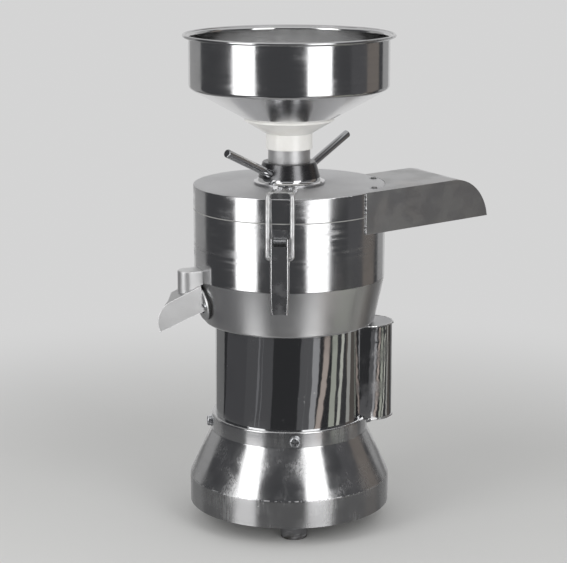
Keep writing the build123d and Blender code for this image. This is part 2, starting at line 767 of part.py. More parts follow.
# Outlet box: half-round box that stands on the spout's root against the bowl
with BuildPart() as outlet_box:
    out = Vector(1, 0, 0).rotate(Axis.Z, spout_azimuth)
    box_foot = out * outlet_box_reach + Vector(0, 0, spout_height)
    with BuildSketch(Plane(origin=box_foot, x_dir=out, z_dir=(0, 0, 1))):
        Circle(outlet_box_radius)
        with Locations((-outlet_box_radius, 0)):
            Rectangle(2 * outlet_box_radius, 2 * outlet_box_radius)
    extrude(amount=outlet_box_top - spout_height)
    fillet(outlet_box.faces().sort_by(Axis.Z)[-1].edges().filter_by(GeomType.CIRCLE), 2)
    with BuildSketch(Plane.XY.offset(spout_height - 20)):
        Circle(bowl_radius + seat_gap)
    extrude(amount=80, mode=Mode.SUBTRACT)
    with BuildSketch(upright(spout_azimuth)):
        with BuildLine():
            Polyline(
                (spout_top_inner[0] - 10, spout_top_inner[1] + 10 * spout_fall + seat_gap),
                (spout_top_inner[0] + 50, spout_top_inner[1] - 50 * spout_fall + seat_gap),
                (spout_top_inner[0] + 50, spout_height - 20),
                (spout_top_inner[0] - 10, spout_height - 20),
                close=True,
            )
        make_face()
    extrude(amount=20, both=True, mode=Mode.SUBTRACT)
    with BuildSketch(spout_hole_plane(gasket_reach + spout_flange_sheet + 3)):
        Circle(spout_flange_radius + 0.5)
    extrude(amount=-20, mode=Mode.SUBTRACT)
write_piece(outlet_box, "outlet_box")

# Lid gasket and lid: flat disc, skirt, inner locating ring, and the opening to the chute
with BuildPart() as lid_gasket:
    with BuildSketch(Plane.XY.offset(bowl_edge)):
        Circle(bowl_radius)
        Circle(bowl_inner, mode=Mode.SUBTRACT)
    extrude(amount=gasket_thickness)
    add(chute_block(opening_outer, opening_inner, notch_plane, 60), mode=Mode.SUBTRACT)
write_piece(lid_gasket, "lid_gasket")

lid_edge = bowl_edge + gasket_thickness
lid_inside = lid_top - body_sheet
chute_top_inside = lid_top - chute_sheet
rivet_radius = 2.0
rivet_turns = (22.8, 60.7)
rivet_places = []
for turn in rivet_turns:
    rivet_places.append((rivet_circle * cos(radians(turn)), -rivet_circle * sin(radians(turn))))
rivet_plan = Plane(origin=(0, 0, lid_inside - 6), x_dir=chute_along, z_dir=(0, 0, 1))
spigot_radius = bowl_inner - seat_gap
with BuildPart() as lid:
    with BuildSketch(Plane.XZ):
        with BuildLine():
            Polyline(
                (bowl_radius, lid_top - lid_bend),
                (bowl_radius, lid_edge),
                (spigot_radius, lid_edge),
                (spigot_radius, lid_edge - spigot_depth),
                (spigot_radius - body_sheet, lid_edge - spigot_depth),
                (spigot_radius - body_sheet, lid_inside),
                (hub_radius + seat_gap, lid_inside),
                (hub_radius + seat_gap, lid_top),
                (bowl_radius - lid_bend, lid_top),
            )
            RadiusArc((bowl_radius - lid_bend, lid_top), (bowl_radius, lid_top - lid_bend), lid_bend)
        make_face()
    revolve(axis=Axis.Z)
    opening_height = lid_inside - notch_plane.origin.Z
    add(chute_block(opening_outer, opening_inner, notch_plane, opening_height), mode=Mode.SUBTRACT)
    with BuildSketch(rivet_plan):
        with Locations(*rivet_places):
            Circle(rivet_radius + seat_gap)
    extrude(amount=20, mode=Mode.SUBTRACT)
write_piece(lid, "lid")

# Dregs chute: hood of three plates with a skewed, rounded mouth, open below
skew_angle = Vector(1, 0, 0).get_angle(Vector(1, chute_skew, 0))
mouth_run = chute_mouth_run * cos(radians(skew_angle))
mouth_origin = chute_along * chute_outer_reach + chute_side * chute_outer_side
mouth_out = chute_along.rotate(Axis.Z, -skew_angle)
mouth_plane = Plane(origin=mouth_origin, x_dir=mouth_out, z_dir=mouth_out.rotate(Axis.Z, -90))
tongue_reach = bowl_radius - 17
tongue_outer = opening_outer + tongue_margin
tongue_inner = opening_inner - tongue_margin
with BuildPart() as dregs_chute:
    add(chute_block(chute_outer_side, chute_inner_side, chute_plan, chute_height))
    with BuildSketch(mouth_plane):
        with BuildLine():
            Polyline((0, lid_top), (-260, lid_top), (-260, chute_bottom), (mouth_run, chute_bottom))
            ThreePointArc(
                (mouth_run, chute_bottom),
                (mouth_run * 0.76, chute_bottom + chute_height * 0.61),
                (0, lid_top),
            )
        make_face()
    extrude(amount=200, both=True, mode=Mode.INTERSECT)
    inner_outer = chute_outer_side + chute_sheet
    inner_inner = chute_inner_side - chute_sheet
    add(chute_block(inner_outer, inner_inner, chute_plan, chute_height - chute_sheet), mode=Mode.SUBTRACT)
    with BuildSketch(Plane.XY.offset(chute_bottom - 10)):
        Circle(bowl_radius + seat_gap)
    extrude(amount=chute_height + 20, mode=Mode.SUBTRACT)
    tongue_top = lid_inside - seat_gap
    for ring_inner, low, high in (
        (tongue_reach, tongue_top - chute_sheet, tongue_top),
        (bowl_radius + seat_gap, tongue_top, chute_top_inside + seat_gap),
    ):
        with BuildSketch(chute_plan.offset(low - chute_bottom)):
            with BuildLine():
                Polyline(
                    (25, tongue_outer),
                    (bowl_radius + 24, tongue_outer),
                    (bowl_radius + 24, tongue_inner),
                    (25, tongue_inner),
                    close=True,
                )
            make_face()
            Circle(bowl_radius + 8, mode=Mode.INTERSECT)
            Circle(ring_inner, mode=Mode.SUBTRACT)
        extrude(amount=high - low)
    with BuildSketch(rivet_plan):
        with Locations(*rivet_places):
            Circle(rivet_radius + seat_gap)
    extrude(amount=20, mode=Mode.SUBTRACT)
write_piece(dregs_chute, "dregs_chute")

with BuildPart() as chute_rivets:
    rivet_tail = tongue_top - chute_sheet
    for height, radius, length in (
        (lid_top, 3.4, 1.6),
        (rivet_tail, rivet_radius, lid_top - rivet_tail),
        (rivet_tail - 1, 3.0, 1),
    ):
        with BuildSketch(Plane(origin=(0, 0, height), x_dir=chute_along, z_dir=(0, 0, 1))):
            with Locations(*rivet_places):
                Circle(radius)
        extrude(amount=length)
    fillet(chute_rivets.edges().group_by(Axis.Z)[-1], 1.2)
write_piece(chute_rivets, "chute_rivets")

# Lid hub: flanged bush that guides the stem, with the pin that keeps the stem from turning
hub_bottom = lid_top - hub_drop
key_height = hub_bottom + 8
key_radius = 2.5
key_reach = stem_radius - 2.8
with BuildPart() as lid_hub:
    with BuildSketch(Plane.XY.offset(hub_bottom)):
        Circle(hub_radius)
    extrude(amount=hub_drop)
    with BuildSketch(Plane.XY.offset(lid_top)):
        Circle(hub_flange_radius)
    extrude(amount=hub_flange_thickness)
    with BuildSketch(Plane.XY.offset(hub_bottom)):
        Circle(stem_radius + running_gap)
    extrude(amount=60, mode=Mode.SUBTRACT)
    with BuildSketch(facing(90, 10, key_height)):
        Circle(key_radius + running_gap)
    extrude(amount=40, mode=Mode.SUBTRACT)
write_piece(lid_hub, "lid_hub")

with BuildPart() as key_pin:
    with BuildSketch(facing(90, key_reach, key_height)):
        Circle(key_radius)
    extrude(amount=hub_radius - key_reach)
write_piece(key_pin, "key_pin")

# Hand nut: waisted cone with a flared foot, turned by two rods
nut_bottom = lid_top + hub_flange_thickness + body_gap
rod_slope = tan(radians(rod_rise_angle))


def rod_plane(azimuth, reach):
    """The plane across a rod at a distance from the axis."""
    out = Vector(1, 0, 0).rotate(Axis.Z, azimuth)
    centre = out * reach + Vector(0, 0, rod_root[1] + (reach - rod_root[0]) * rod_slope)
    return Plane(origin=centre, x_dir=out.rotate(Axis.Z, 90), z_dir=out + Vector(0, 0, rod_slope))


rod_inner_end = stem_radius + 3.5
rod_length = (rod_reach - rod_inner_end) * hypot(1, rod_slope)
with BuildPart() as hand_nut:
    with BuildSketch(Plane.XZ):
        with BuildLine():
            Polyline(
                (nut_waist_radius, nut_waist),
                (nut_top_radius, nut_top - 1),
                (nut_top_radius - 1, nut_top),
                (stem_radius + running_gap, nut_top),
                (stem_radius + running_gap, nut_bottom),
                (nut_foot_radius, nut_bottom),
                (nut_foot_radius, nut_bottom + 1.2),
            )
            ThreePointArc(
                (nut_foot_radius, nut_bottom + 1.2),
                (nut_waist_radius + 1.9, nut_bottom + 3.2),
                (nut_waist_radius, nut_waist),
            )
        make_face()
    revolve(axis=Axis.Z)
    for azimuth in (rod_azimuth, rod_azimuth + 180):
        with BuildSketch(rod_plane(azimuth, rod_inner_end)):
            Circle(rod_radius + seat_gap)
        extrude(amount=40, mode=Mode.SUBTRACT)
write_piece(hand_nut, "hand_nut")

with BuildPart() as handle_rods:
    for azimuth in (rod_azimuth, rod_azimuth + 180):
        with BuildSketch(rod_plane(azimuth, rod_inner_end)):
            Circle(rod_radius)
        extrude(amount=rod_length)
    fillet(handle_rods.edges().filter_by(GeomType.CIRCLE), 1.2)
write_piece(handle_rods, "handle_rods")

# Feed stem: tube with the keyway, and the holder that clamps the upper stone
lower_stone_bottom = carrier_bottom + carrier_sheet
upper_stone_bottom = lower_stone_bottom + stone_thickness + stone_gap
upper_stone_top = upper_stone_bottom + stone_thickness
holder_thickness = 8.0
with BuildPart() as feed_stem:
    with BuildSketch(Plane.XY.offset(upper_stone_top)):
        Circle(stem_radius)
        Circle(stem_bore_radius, mode=Mode.SUBTRACT)
    extrude(amount=stem_top - upper_stone_top)
    keyway_plane = Plane(origin=(0, 0, key_height), x_dir=(0, 0, 1), z_dir=(0, 1, 0))
    with BuildSketch(keyway_plane.offset(key_reach - 0.3)):
        SlotOverall(20, 2 * (key_radius + seat_gap))
    extrude(amount=10, mode=Mode.SUBTRACT)
write_piece(feed_stem, "feed_stem")

with BuildPart() as stone_holder:
    with BuildSketch(Plane.XY.offset(upper_stone_top)):
        Circle(stone_radius + 3)
        Circle(stem_radius + running_gap, mode=Mode.SUBTRACT)
    extrude(amount=holder_thickness)
    with BuildSketch(Plane.XY.offset(upper_stone_top - 8)):
        Circle(stone_radius + 3)
        Circle(stone_radius + seat_gap, mode=Mode.SUBTRACT)
    extrude(amount=8)
write_piece(stone_holder, "stone_holder")

# Upper grindstone: flat ring, hollowed towards the feed hole
with BuildPart() as upper_grindstone:
    with BuildSketch(Plane.XZ):
        with BuildLine():
            Polyline(
                (stone_bore_radius, upper_stone_bottom + 7),
                (stone_bore_radius + 15, upper_stone_bottom),
                (stone_radius, upper_stone_bottom),
                (stone_radius, upper_stone_top),
                (stone_bore_radius, upper_stone_top),
                close=True,
            )
        make_face()
    revolve(axis=Axis.Z)
write_piece(upper_grindstone, "upper_grindstone")

# Lower grindstone on its carrier, held by the stone nut
with BuildPart() as lower_grindstone:
    with BuildSketch(Plane.XZ):
        with BuildLine():
            Polyline(
                (seat_radius + running_gap, lower_stone_bottom),
                (stone_radius, lower_stone_bottom),
                (stone_radius, lower_stone_bottom + stone_thickness),
                (seat_radius + running_gap, lower_stone_bottom + stone_thickness),
                close=True,
            )
        make_face()
    revolve(axis=Axis.Z)
write_piece(lower_grindstone, "lower_grindstone")

with BuildPart() as stone_carrier:
    with BuildSketch(Plane.XZ):
        with BuildLine():
            Polyline(
                (seat_radius + running_gap, seat_shoulder),
                (seat_radius + 9, seat_shoulder),
                (seat_radius + 9, carrier_bottom - 4),
                (seat_radius + 13, carrier_bottom),
                (carrier_radius, carrier_bottom),
                (carrier_radius, carrier_bottom + carrier_sheet),
                (seat_radius + running_gap, carrier_bottom + carrier_sheet),
                close=True,
            )
        make_face()
    revolve(axis=Axis.Z)
write_piece(stone_carrier, "stone_carrier")

with BuildPart() as stone_nut:
    with BuildSketch(Plane.XY.offset(nut_seat)):
        RegularPolygon(11, 6)
        Circle(tip_radius + running_gap, mode=Mode.SUBTRACT)
    extrude(amount=stone_nut_height)
write_piece(stone_nut, "stone_nut")

# Filter basket: cone of perforated sheet with a rolled rim, standing on the carrier's edge
with BuildPart() as filter_basket:
    basket_line = [
        (stone_radius + 1.5, lower_stone_bottom + basket_sheet / 2),
        (carrier_radius, lower_stone_bottom + basket_sheet / 2),
        (basket_top_radius, basket_top),
        (basket_top_radius + 3, basket_top),
    ]
    revolve(sheet_section(basket_line, [2, 2], basket_sheet), axis=Axis.Z)
    lean = Vector(basket_top_radius - carrier_radius, 0, basket_top - lower_stone_bottom).normalized()
    slot_rows = ((0.22, 15), (0.5, 15), (0.78, 15))
    for share, slot_length in slot_rows:
        row_radius = carrier_radius + share * (basket_top_radius - carrier_radius)
        row_height = lower_stone_bottom + share * (basket_top - lower_stone_bottom)
        for k in range(20):
            angle = 18 * k
            centre = Vector(row_radius, 0, row_height).rotate(Axis.Z, angle)
            normal = Vector(lean.Z, 0, -lean.X).rotate(Axis.Z, angle)
            with BuildSketch(Plane(origin=centre, x_dir=lean.rotate(Axis.Z, angle), z_dir=normal)):
                Rectangle(slot_length, 3)
            extrude(amount=3, both=True, mode=Mode.SUBTRACT)
write_piece(filter_basket, "filter_basket")

# Stone spring between the holder and the hub
spring_wire = 1.8
spring_turns = 4
spring_bottom = upper_stone_top + holder_thickness
spring_length = hub_bottom - spring_bottom - 2 * spring_wire
spring_radius = stem_radius + 1 + spring_wire
with BuildPart() as stone_spring:
    with BuildLine() as coil:
        Helix(
            pitch=spring_length / spring_turns,
            height=spring_length,
            radius=spring_radius,
            center=(0, 0, spring_bottom + spring_wire),
        )
    with BuildSketch(Plane(origin=coil.line @ 0, z_dir=coil.line % 0)):
        Circle(spring_wire)
    sweep()
write_piece(stone_spring, "stone_spring")

# Hopper seat: moulded funnel on top of the stem, shaped to the hopper's cone
hopper_middle = hopper_radius - hopper_sheet / 2
cone_run = hopper_middle - hopper_throat_radius
cone_slope = (hopper_cone_rise - hopper_throat_rise) / cone_run
cone_stretch = hypot(1, cone_slope)
bead_height = overall_height - bead_radius


def cone_height(radius, drop):
    """Height of the hopper cone's middle surface at a radius, less a drop square to it."""
    middle = hopper_bend - (hopper_middle - radius) * cone_slope
    return middle + (hopper_sheet / 2 - drop) * cone_stretch


seat_drop = hopper_sheet / 2 + seat_gap
with BuildPart() as hopper_seat:
    with BuildSketch(Plane.XZ):
        with BuildLine():
            Polyline(
                (stem_radius + seat_gap, seat_tube_bottom),
                (seat_tube_radius, seat_tube_bottom),
                (seat_tube_radius, seat_flare),
                (seat_rim_radius, cone_height(seat_rim_radius, seat_drop) - 2.4),
                (seat_rim_radius, cone_height(seat_rim_radius, seat_drop)),
                (hopper_throat_radius - 1, cone_height(hopper_throat_radius - 1, seat_drop)),
                (stem_bore_radius, stem_top + seat_gap),
                (stem_radius + seat_gap, stem_top + seat_gap),
                close=True,
            )
        make_face()
    revolve(axis=Axis.Z)
write_piece(hopper_seat, "hopper_seat")

# Hopper: cone, straight wall and a flanged rim with a rolled bead
with BuildPart() as hopper:
    bead_centre = hopper_middle + rim_reach
    hopper_line = [
        (hopper_throat_radius, cone_height(hopper_throat_radius, 0)),
        (hopper_middle, cone_height(hopper_middle, 0)),
        (hopper_middle, bead_height),
        (bead_centre, bead_height),
    ]
    revolve(sheet_section(hopper_line, [5, 3], hopper_sheet), axis=Axis.Z)
    with BuildSketch(Plane.XZ):
        with Locations((bead_centre, bead_height)):
            Circle(bead_radius)
    revolve(axis=Axis.Z)
write_piece(hopper, "hopper")

# Latches: catch strip on the lid, base plate with ears on the bowl, pin, channel lever and wire bail
lip_inner = catch_lip_radius - catch_sheet
bar_height = lid_top + catch_sheet + bail_rest_gap + bail_wire_radius
bar_centre = (lip_inner - bail_lip_gap - bail_wire_radius, bar_height)
catch_top = lid_top + catch_sheet + catch_lip_height
ear_half_width = lever_half_width - lever_sheet - 0.6
ear_sheet = 1.5
base_back = bowl_radius + 0.05
base_face = base_back + 1.5
with BuildPart() as lid_catches:
    for azimuth in latch_azimuths.values():
        with BuildSketch(Plane.XY.offset(lid_top)):
            with Locations(Location((0, 0, 0), (0, 0, azimuth))):
                with Locations(((catch_root + lip_inner) / 2, 0)):
                    Rectangle(lip_inner - catch_root, 2 * catch_half_width)
        extrude(amount=catch_sheet)
        with BuildSketch(facing(azimuth, lip_inner, (lid_top + catch_top) / 2)) as lip:
            Rectangle(2 * catch_lip_half_width, catch_top - lid_top)
            fillet(lip.vertices().group_by(Axis.Y)[-1], catch_lip_corner)
        extrude(amount=catch_sheet)
    with BuildSketch(Plane.XY.offset(lid_top)):
        Circle(nut_foot_radius + 1.5)
    extrude(amount=catch_sheet, mode=Mode.SUBTRACT)
write_piece(lid_catches, "lid_catches")

with BuildPart() as latch_bases:
    for azimuth in latch_azimuths.values():
        with BuildSketch(upright(azimuth)):
            with BuildLine():
                Polyline(
                    (base_back, base_bottom),
                    (base_face, base_bottom),
                    (base_face, latch_pivot[1] - 9),
                    (latch_pivot[0] + 3, latch_pivot[1] - 4),
                    (latch_pivot[0] + 3, latch_pivot[1] + 3),
                    (base_face, latch_pivot[1] + 3.5),
                    (base_face, base_top),
                    (base_back, base_top),
                    close=True,
                )
            make_face()
            with Locations(latch_pivot):
                Circle(latch_pin_radius + running_gap, mode=Mode.SUBTRACT)
        extrude(amount=ear_half_width, both=True)
        with BuildSketch(upright(azimuth)):
            with Locations((base_face + 20, latch_pivot[1])):
                Rectangle(40, 60)
        extrude(amount=ear_half_width - ear_sheet, both=True, mode=Mode.SUBTRACT)
write_piece(latch_bases, "latch_bases")

with BuildPart() as latch_pins:
    for azimuth in latch_azimuths.values():
        with BuildSketch(upright(azimuth)):
            with Locations(latch_pivot):
                Circle(latch_pin_radius)
        extrude(amount=lever_half_width + 0.4, both=True)
write_piece(latch_pins, "latch_pins")

for name, azimuth in latch_azimuths.items():
    side_view = upright(azimuth)
    web_inner = latch_pivot[0] + 5.0
    web_outer = web_inner + lever_sheet
    lever_top = latch_pivot[1] + 4
    with BuildPart() as latch_lever:
        with BuildSketch(side_view):
            with BuildLine():
                Polyline(
                    (web_outer, lever_top),
                    (web_outer, lever_tip),
                    (web_inner - tongue_flange, lever_tip),
                    (web_inner - tongue_flange, lever_channel_end),
                    (bail_pivot[0] - 4, bail_pivot[1] - 6),
                    (bail_pivot[0] - 4, lever_top),
                    close=True,
                )
            make_face()
        extrude(amount=lever_half_width, both=True)
        with BuildSketch(facing(azimuth, bowl_radius, 0)):
            with BuildLine():
                Polyline(
                    (-lever_half_width, lever_top),
                    (-lever_half_width, lever_channel_end),
                    (-lever_tip_half_width, lever_tip),
                    (lever_tip_half_width, lever_tip),
                    (lever_half_width, lever_channel_end),
                    (lever_half_width, lever_top),
                    close=True,
                )
            make_face()
        extrude(amount=20, mode=Mode.INTERSECT)
        long_edges = [edge for edge in latch_lever.edges() if abs((edge @ 1).Z - (edge @ 0).Z) > 15]
        out = side_view.x_dir
        fillet([edge for edge in long_edges if abs(edge.center().dot(out) - web_outer) < 0.01], lever_bend)
        with BuildSketch(facing(azimuth, bowl_radius - 20, 0)):
            with BuildLine():
                Polyline(
                    (lever_sheet - lever_half_width, lever_top + 1),
                    (lever_sheet - lever_half_width, lever_channel_end),
                    (lever_sheet - lever_tip_half_width, lever_tip - 1),
                    (lever_tip_half_width - lever_sheet, lever_tip - 1),
                    (lever_half_width - lever_sheet, lever_channel_end),
                    (lever_half_width - lever_sheet, lever_top + 1),
                    close=True,
                )
            make_face()
        extrude(amount=web_inner - bowl_radius + 20, mode=Mode.SUBTRACT)
        with BuildSketch(facing(azimuth, bowl_radius, latch_pivot[1] + 1)):
            Rectangle(2 * (lever_half_width - lever_bend), 12)
        extrude(amount=20, mode=Mode.SUBTRACT)
        with BuildSketch(side_view):
            with Locations(latch_pivot):
                Circle(latch_pin_radius + running_gap)
            with Locations(bail_pivot):
                Circle(bail_wire_radius + running_gap)
        extrude(amount=lever_half_width + 5, both=True, mode=Mode.SUBTRACT)
    write_piece(latch_lever, f"{name}_latch_lever")

    with BuildPart() as latch_bail:
        knee = (bowl_radius + 3.6, bar_centre[1])
        with BuildLine() as wire_path:
            out = side_view.x_dir
            across = side_view.z_dir
            inner_end = lever_half_width - lever_sheet

            def wire_point(place, offset):
                return out * place[0] + Vector(0, 0, place[1]) + across * offset

            FilletPolyline(
                wire_point(bail_pivot, inner_end),
                wire_point(bail_pivot, bail_half_width),
                wire_point(knee, bail_half_width),
                wire_point(bar_centre, bail_half_width),
                wire_point(bar_centre, -bail_half_width),
                wire_point(knee, -bail_half_width),
                wire_point(bail_pivot, -bail_half_width),
                wire_point(bail_pivot, -inner_end),
                radius=[3, 4, 3, 3, 4, 3],
            )
        with BuildSketch(Plane(origin=wire_path.line @ 0, z_dir=wire_path.line % 0)):
            Circle(bail_wire_radius)
        sweep()
    write_piece(latch_bail, f"{name}_latch_bail")

# Catch rivets at the inner ends of both strips
with BuildPart() as catch_rivets:
    for azimuth in latch_azimuths.values():
        with BuildSketch(Plane.XY.offset(lid_top + catch_sheet)):
            with Locations(Location((0, 0, 0), (0, 0, azimuth))):
                with Locations((catch_root + 7, -6), (catch_root + 7, 6)):
                    Circle(3.2)
        extrude(amount=1.6)
    fillet(catch_rivets.edges().group_by(Axis.Z)[-1], 1)
write_piece(catch_rivets, "catch_rivets")
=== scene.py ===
import math
import bmesh
import bpy
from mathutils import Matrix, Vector, noise


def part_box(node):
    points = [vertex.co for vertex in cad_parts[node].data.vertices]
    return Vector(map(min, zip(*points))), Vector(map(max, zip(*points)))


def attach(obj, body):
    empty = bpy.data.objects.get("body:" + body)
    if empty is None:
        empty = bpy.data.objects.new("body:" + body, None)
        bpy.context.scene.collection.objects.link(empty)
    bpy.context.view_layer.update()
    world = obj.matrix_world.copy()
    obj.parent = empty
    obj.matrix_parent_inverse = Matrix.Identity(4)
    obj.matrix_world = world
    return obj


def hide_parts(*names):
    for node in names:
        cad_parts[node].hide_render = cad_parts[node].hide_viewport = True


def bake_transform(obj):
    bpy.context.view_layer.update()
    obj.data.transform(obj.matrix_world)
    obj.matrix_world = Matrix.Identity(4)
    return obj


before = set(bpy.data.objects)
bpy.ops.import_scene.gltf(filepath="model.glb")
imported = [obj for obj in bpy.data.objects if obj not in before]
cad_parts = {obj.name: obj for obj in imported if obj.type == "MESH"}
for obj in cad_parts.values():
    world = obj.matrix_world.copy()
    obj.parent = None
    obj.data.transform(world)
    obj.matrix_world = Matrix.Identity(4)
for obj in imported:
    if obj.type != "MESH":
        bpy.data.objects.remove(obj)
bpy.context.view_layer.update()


# Feet: four turned-in cones of grey rubber that carry the machine on the bench. Each is moulded with a
# recess for its screw, which passes up through the bottom plate and takes a nut. The rubber is scuffed
# pale where it has been dragged, and dark with dirt near the ground.
class Value:
    """A socket of a material, used in sums that add their own Math nodes."""

    def __init__(self, tree, socket):
        self.tree = tree
        self.socket = socket

    def math(self, operation, *terms):
        made = self.tree.nodes.new("ShaderNodeMath")
        made.operation = operation
        for place, term in enumerate(terms):
            if isinstance(term, Value):
                self.tree.links.new(term.socket, made.inputs[place])
            else:
                made.inputs[place].default_value = term
        return Value(self.tree, made.outputs[0])

    def __add__(self, other):
        return self.math("ADD", self, other)

    __radd__ = __add__

    def __sub__(self, other):
        return self.math("SUBTRACT", self, other)

    def __rsub__(self, other):
        return self.math("SUBTRACT", other, self)

    def __mul__(self, other):
        return self.math("MULTIPLY", self, other)

    __rmul__ = __mul__

    def __pow__(self, other):
        return self.math("POWER", self, other)

    def __abs__(self):
        return self.math("ABSOLUTE", self)


class Nodes:
    """A node tree, and the one way in which nodes are added to it."""

    def __init__(self, tree):
        self.tree = tree

    def feed(self, socket, value):
        if isinstance(value, Value):
            self.tree.links.new(value.socket, socket)
        else:
            socket.default_value = value

    def node(self, kind, settings, sockets, output=0):
        """Adds a node of a type, sets its settings, then feeds its sockets."""
        made = self.tree.nodes.new(kind)
        for setting, value in settings.items():
            setattr(made, setting, value)
        for socket, value in sockets.items():
            self.feed(made.inputs[socket], value)
        return Value(self.tree, made.outputs[output])


class Finish(Nodes):
    """A surface of one Principled shader: colour, roughness and relief vary, the rest is constant."""

    def __init__(self, name, colour, roughness=0.5, **constants):
        self.material = bpy.data.materials.new(name)
        self.material.use_nodes = True
        super().__init__(self.material.node_tree)
        self.surface = self.tree.nodes["Principled BSDF"]
        for socket, value in constants.items():
            label = socket.replace("_", " ").title().replace("Ior", "IOR")
            self.surface.inputs[label].default_value = value
        self.colour = (*colour, 1.0)
        self.roughness = roughness
        self.place = self.node("ShaderNodeTexCoord", {}, {}, "Object")
        self.x, self.y, self.z = (
            self.node("ShaderNodeSeparateXYZ", {}, {"Vector": self.place}, axis) for axis in "XYZ"
        )
        self.radius = (self.x * self.x + self.y * self.y) ** 0.5

    def grain(self, along_x, along_y, along_z, detail=2.0):
        """Noise whose coordinates are sums of the place, so that it can run long in one direction."""
        sockets = {"X": along_x, "Y": along_y, "Z": along_z}
        where = self.node("ShaderNodeCombineXYZ", {}, sockets)
        return self.node("ShaderNodeTexNoise", {}, {"Vector": where, "Scale": 1.0, "Detail": detail})

    def cloud(self, scale, detail=3.0):
        """Even noise, with its scale in spots per metre."""
        return self.node("ShaderNodeTexNoise", {}, {"Vector": self.place, "Scale": scale, "Detail": detail})

    def step(self, value, low, high):
        """Rises smoothly from 0 at low to 1 at high."""
        sockets = {"Value": value, "From Min": low, "From Max": high}
        return self.node("ShaderNodeMapRange", {"interpolation_type": "SMOOTHSTEP"}, sockets)

    def tint(self, share, colour):
        """Lays a colour over the surface by a share."""
        sockets = {0: share, 6: self.colour, 7: (*colour, 1.0)}
        self.colour = self.node("ShaderNodeMix", {"data_type": "RGBA"}, sockets, 2)

    def relief(self, height, depth):
        """Raises the surface by a height that runs from 0 to 1, times a depth in metres."""
        normal = self.surface.inputs["Normal"]
        sockets = {"Strength": 1.0, "Distance": depth, "Height": height}
        if normal.is_linked:
            sockets["Normal"] = Value(self.tree, normal.links[0].from_socket)
        self.feed(normal, self.node("ShaderNodeBump", {}, sockets))

    def cover(self, *nodes):
        """Feeds the shader and gives the finish to parts of the frame."""
        self.feed(self.surface.inputs["Base Color"], self.colour)
        self.feed(self.surface.inputs["Roughness"], self.roughness)
        for name in nodes:
            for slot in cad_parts[name].material_slots:
                slot.material = self.material


worn_rubber = Finish("worn_rubber", (0.13, 0.13, 0.135), specular_ior_level=0.35)
dirt_height = 0.012
near_ground = worn_rubber.step(worn_rubber.z, dirt_height, 0.0)
dirt = near_ground * worn_rubber.step(worn_rubber.cloud(120), 0.35, 0.6)
level_streaks = worn_rubber.grain(worn_rubber.x * 60, worn_rubber.y * 60, worn_rubber.z * 420)
rub = worn_rubber.step(level_streaks, 0.5, 0.68)
worn_rubber.tint(rub * 0.7, (0.30, 0.30, 0.31))
worn_rubber.tint(dirt, (0.04, 0.037, 0.033))
worn_rubber.roughness = 0.7 + worn_rubber.cloud(90) * 0.25
worn_rubber.relief(worn_rubber.cloud(900), 0.0002)
worn_rubber.relief(worn_rubber.cloud(160), 0.0006)
worn_rubber.cover("feet")


# Screws, nuts and small hardware: turned and pressed steel, zinc plated. The plating is bright with a
# faint blue cast and dulls in patches, and its recesses are darkened with painted shade.
def plated_steel(name, colour, roughness):
    """Plating that dulls in patches."""
    finish = Finish(name, colour, metallic=1.0)
    patch = finish.step(finish.cloud(140, 4), 0.42, 0.62)
    finish.tint(patch * 0.5, tuple(0.72 * share for share in colour))
    finish.roughness = roughness + patch * 0.14 + finish.cloud(700) * 0.06
    finish.relief(finish.cloud(1500), 0.00003)
    return finish


def painted_recess_shade(finish, width):
    """Painted shade: 1 deep in recesses and corners of a width in metres, where little light reaches, 0 in
    the open.
    """
    settings = {"samples": 8, "only_local": True}
    openness = finish.node("ShaderNodeAmbientOcclusion", settings, {"Distance": width}, "AO")
    return finish.step(openness, 0.72, 0.4)


zinc_plate = plated_steel("zinc_plate", (0.78, 0.79, 0.81), 0.2)
recess_width = 0.002
# Painted shade: the recesses and corners of the hardware are darkened towards black.
zinc_plate.tint(painted_recess_shade(zinc_plate, recess_width) * 0.9, (0.08, 0.08, 0.08))
zinc_plate.cover(
    "foot_screws", "collar_washers", "collar_screws", "switch_nut", "switch_toggle", "bowl_screws",
    "spout_screws", "key_pin", "latch_pins", "catch_rivets", "stone_nut",
)


# Bell stand: one stainless sheet spun on a lathe into a straight band, a flare and a collar that grips
# the motor. It is buffed bright, so it keeps fine rings round its axis. Years of wiping have left
# scuffs down the flare and a scraped line at the crease above the band.
def spun_steel(name, colour, roughness, groove=0.000012):
    """Buffed sheet with rings round the upright axis, and smears from handling over them."""
    finish = Finish(name, colour, metallic=1.0)
    travel = finish.z + finish.radius
    rings = finish.grain(finish.x * 7, finish.y * 7, travel * 1400)
    bands = finish.grain(finish.x * 3, finish.y * 3, travel * 260, 3)
    dull = finish.step(finish.cloud(16, 5), 0.46, 0.66)
    spots = finish.step(finish.cloud(210, 2), 0.66, 0.74)
    finish.roughness = roughness + dull * 0.07 + (bands - 0.5) * 0.08 + spots * 0.05
    finish.tint(dull * 0.5, tuple(0.88 * share for share in colour))
    finish.tint(finish.step(bands, 0.5, 0.75) * 0.35, tuple(0.9 * share for share in colour))
    finish.relief(rings, groove)
    finish.relief(bands, groove * 2)
    return finish


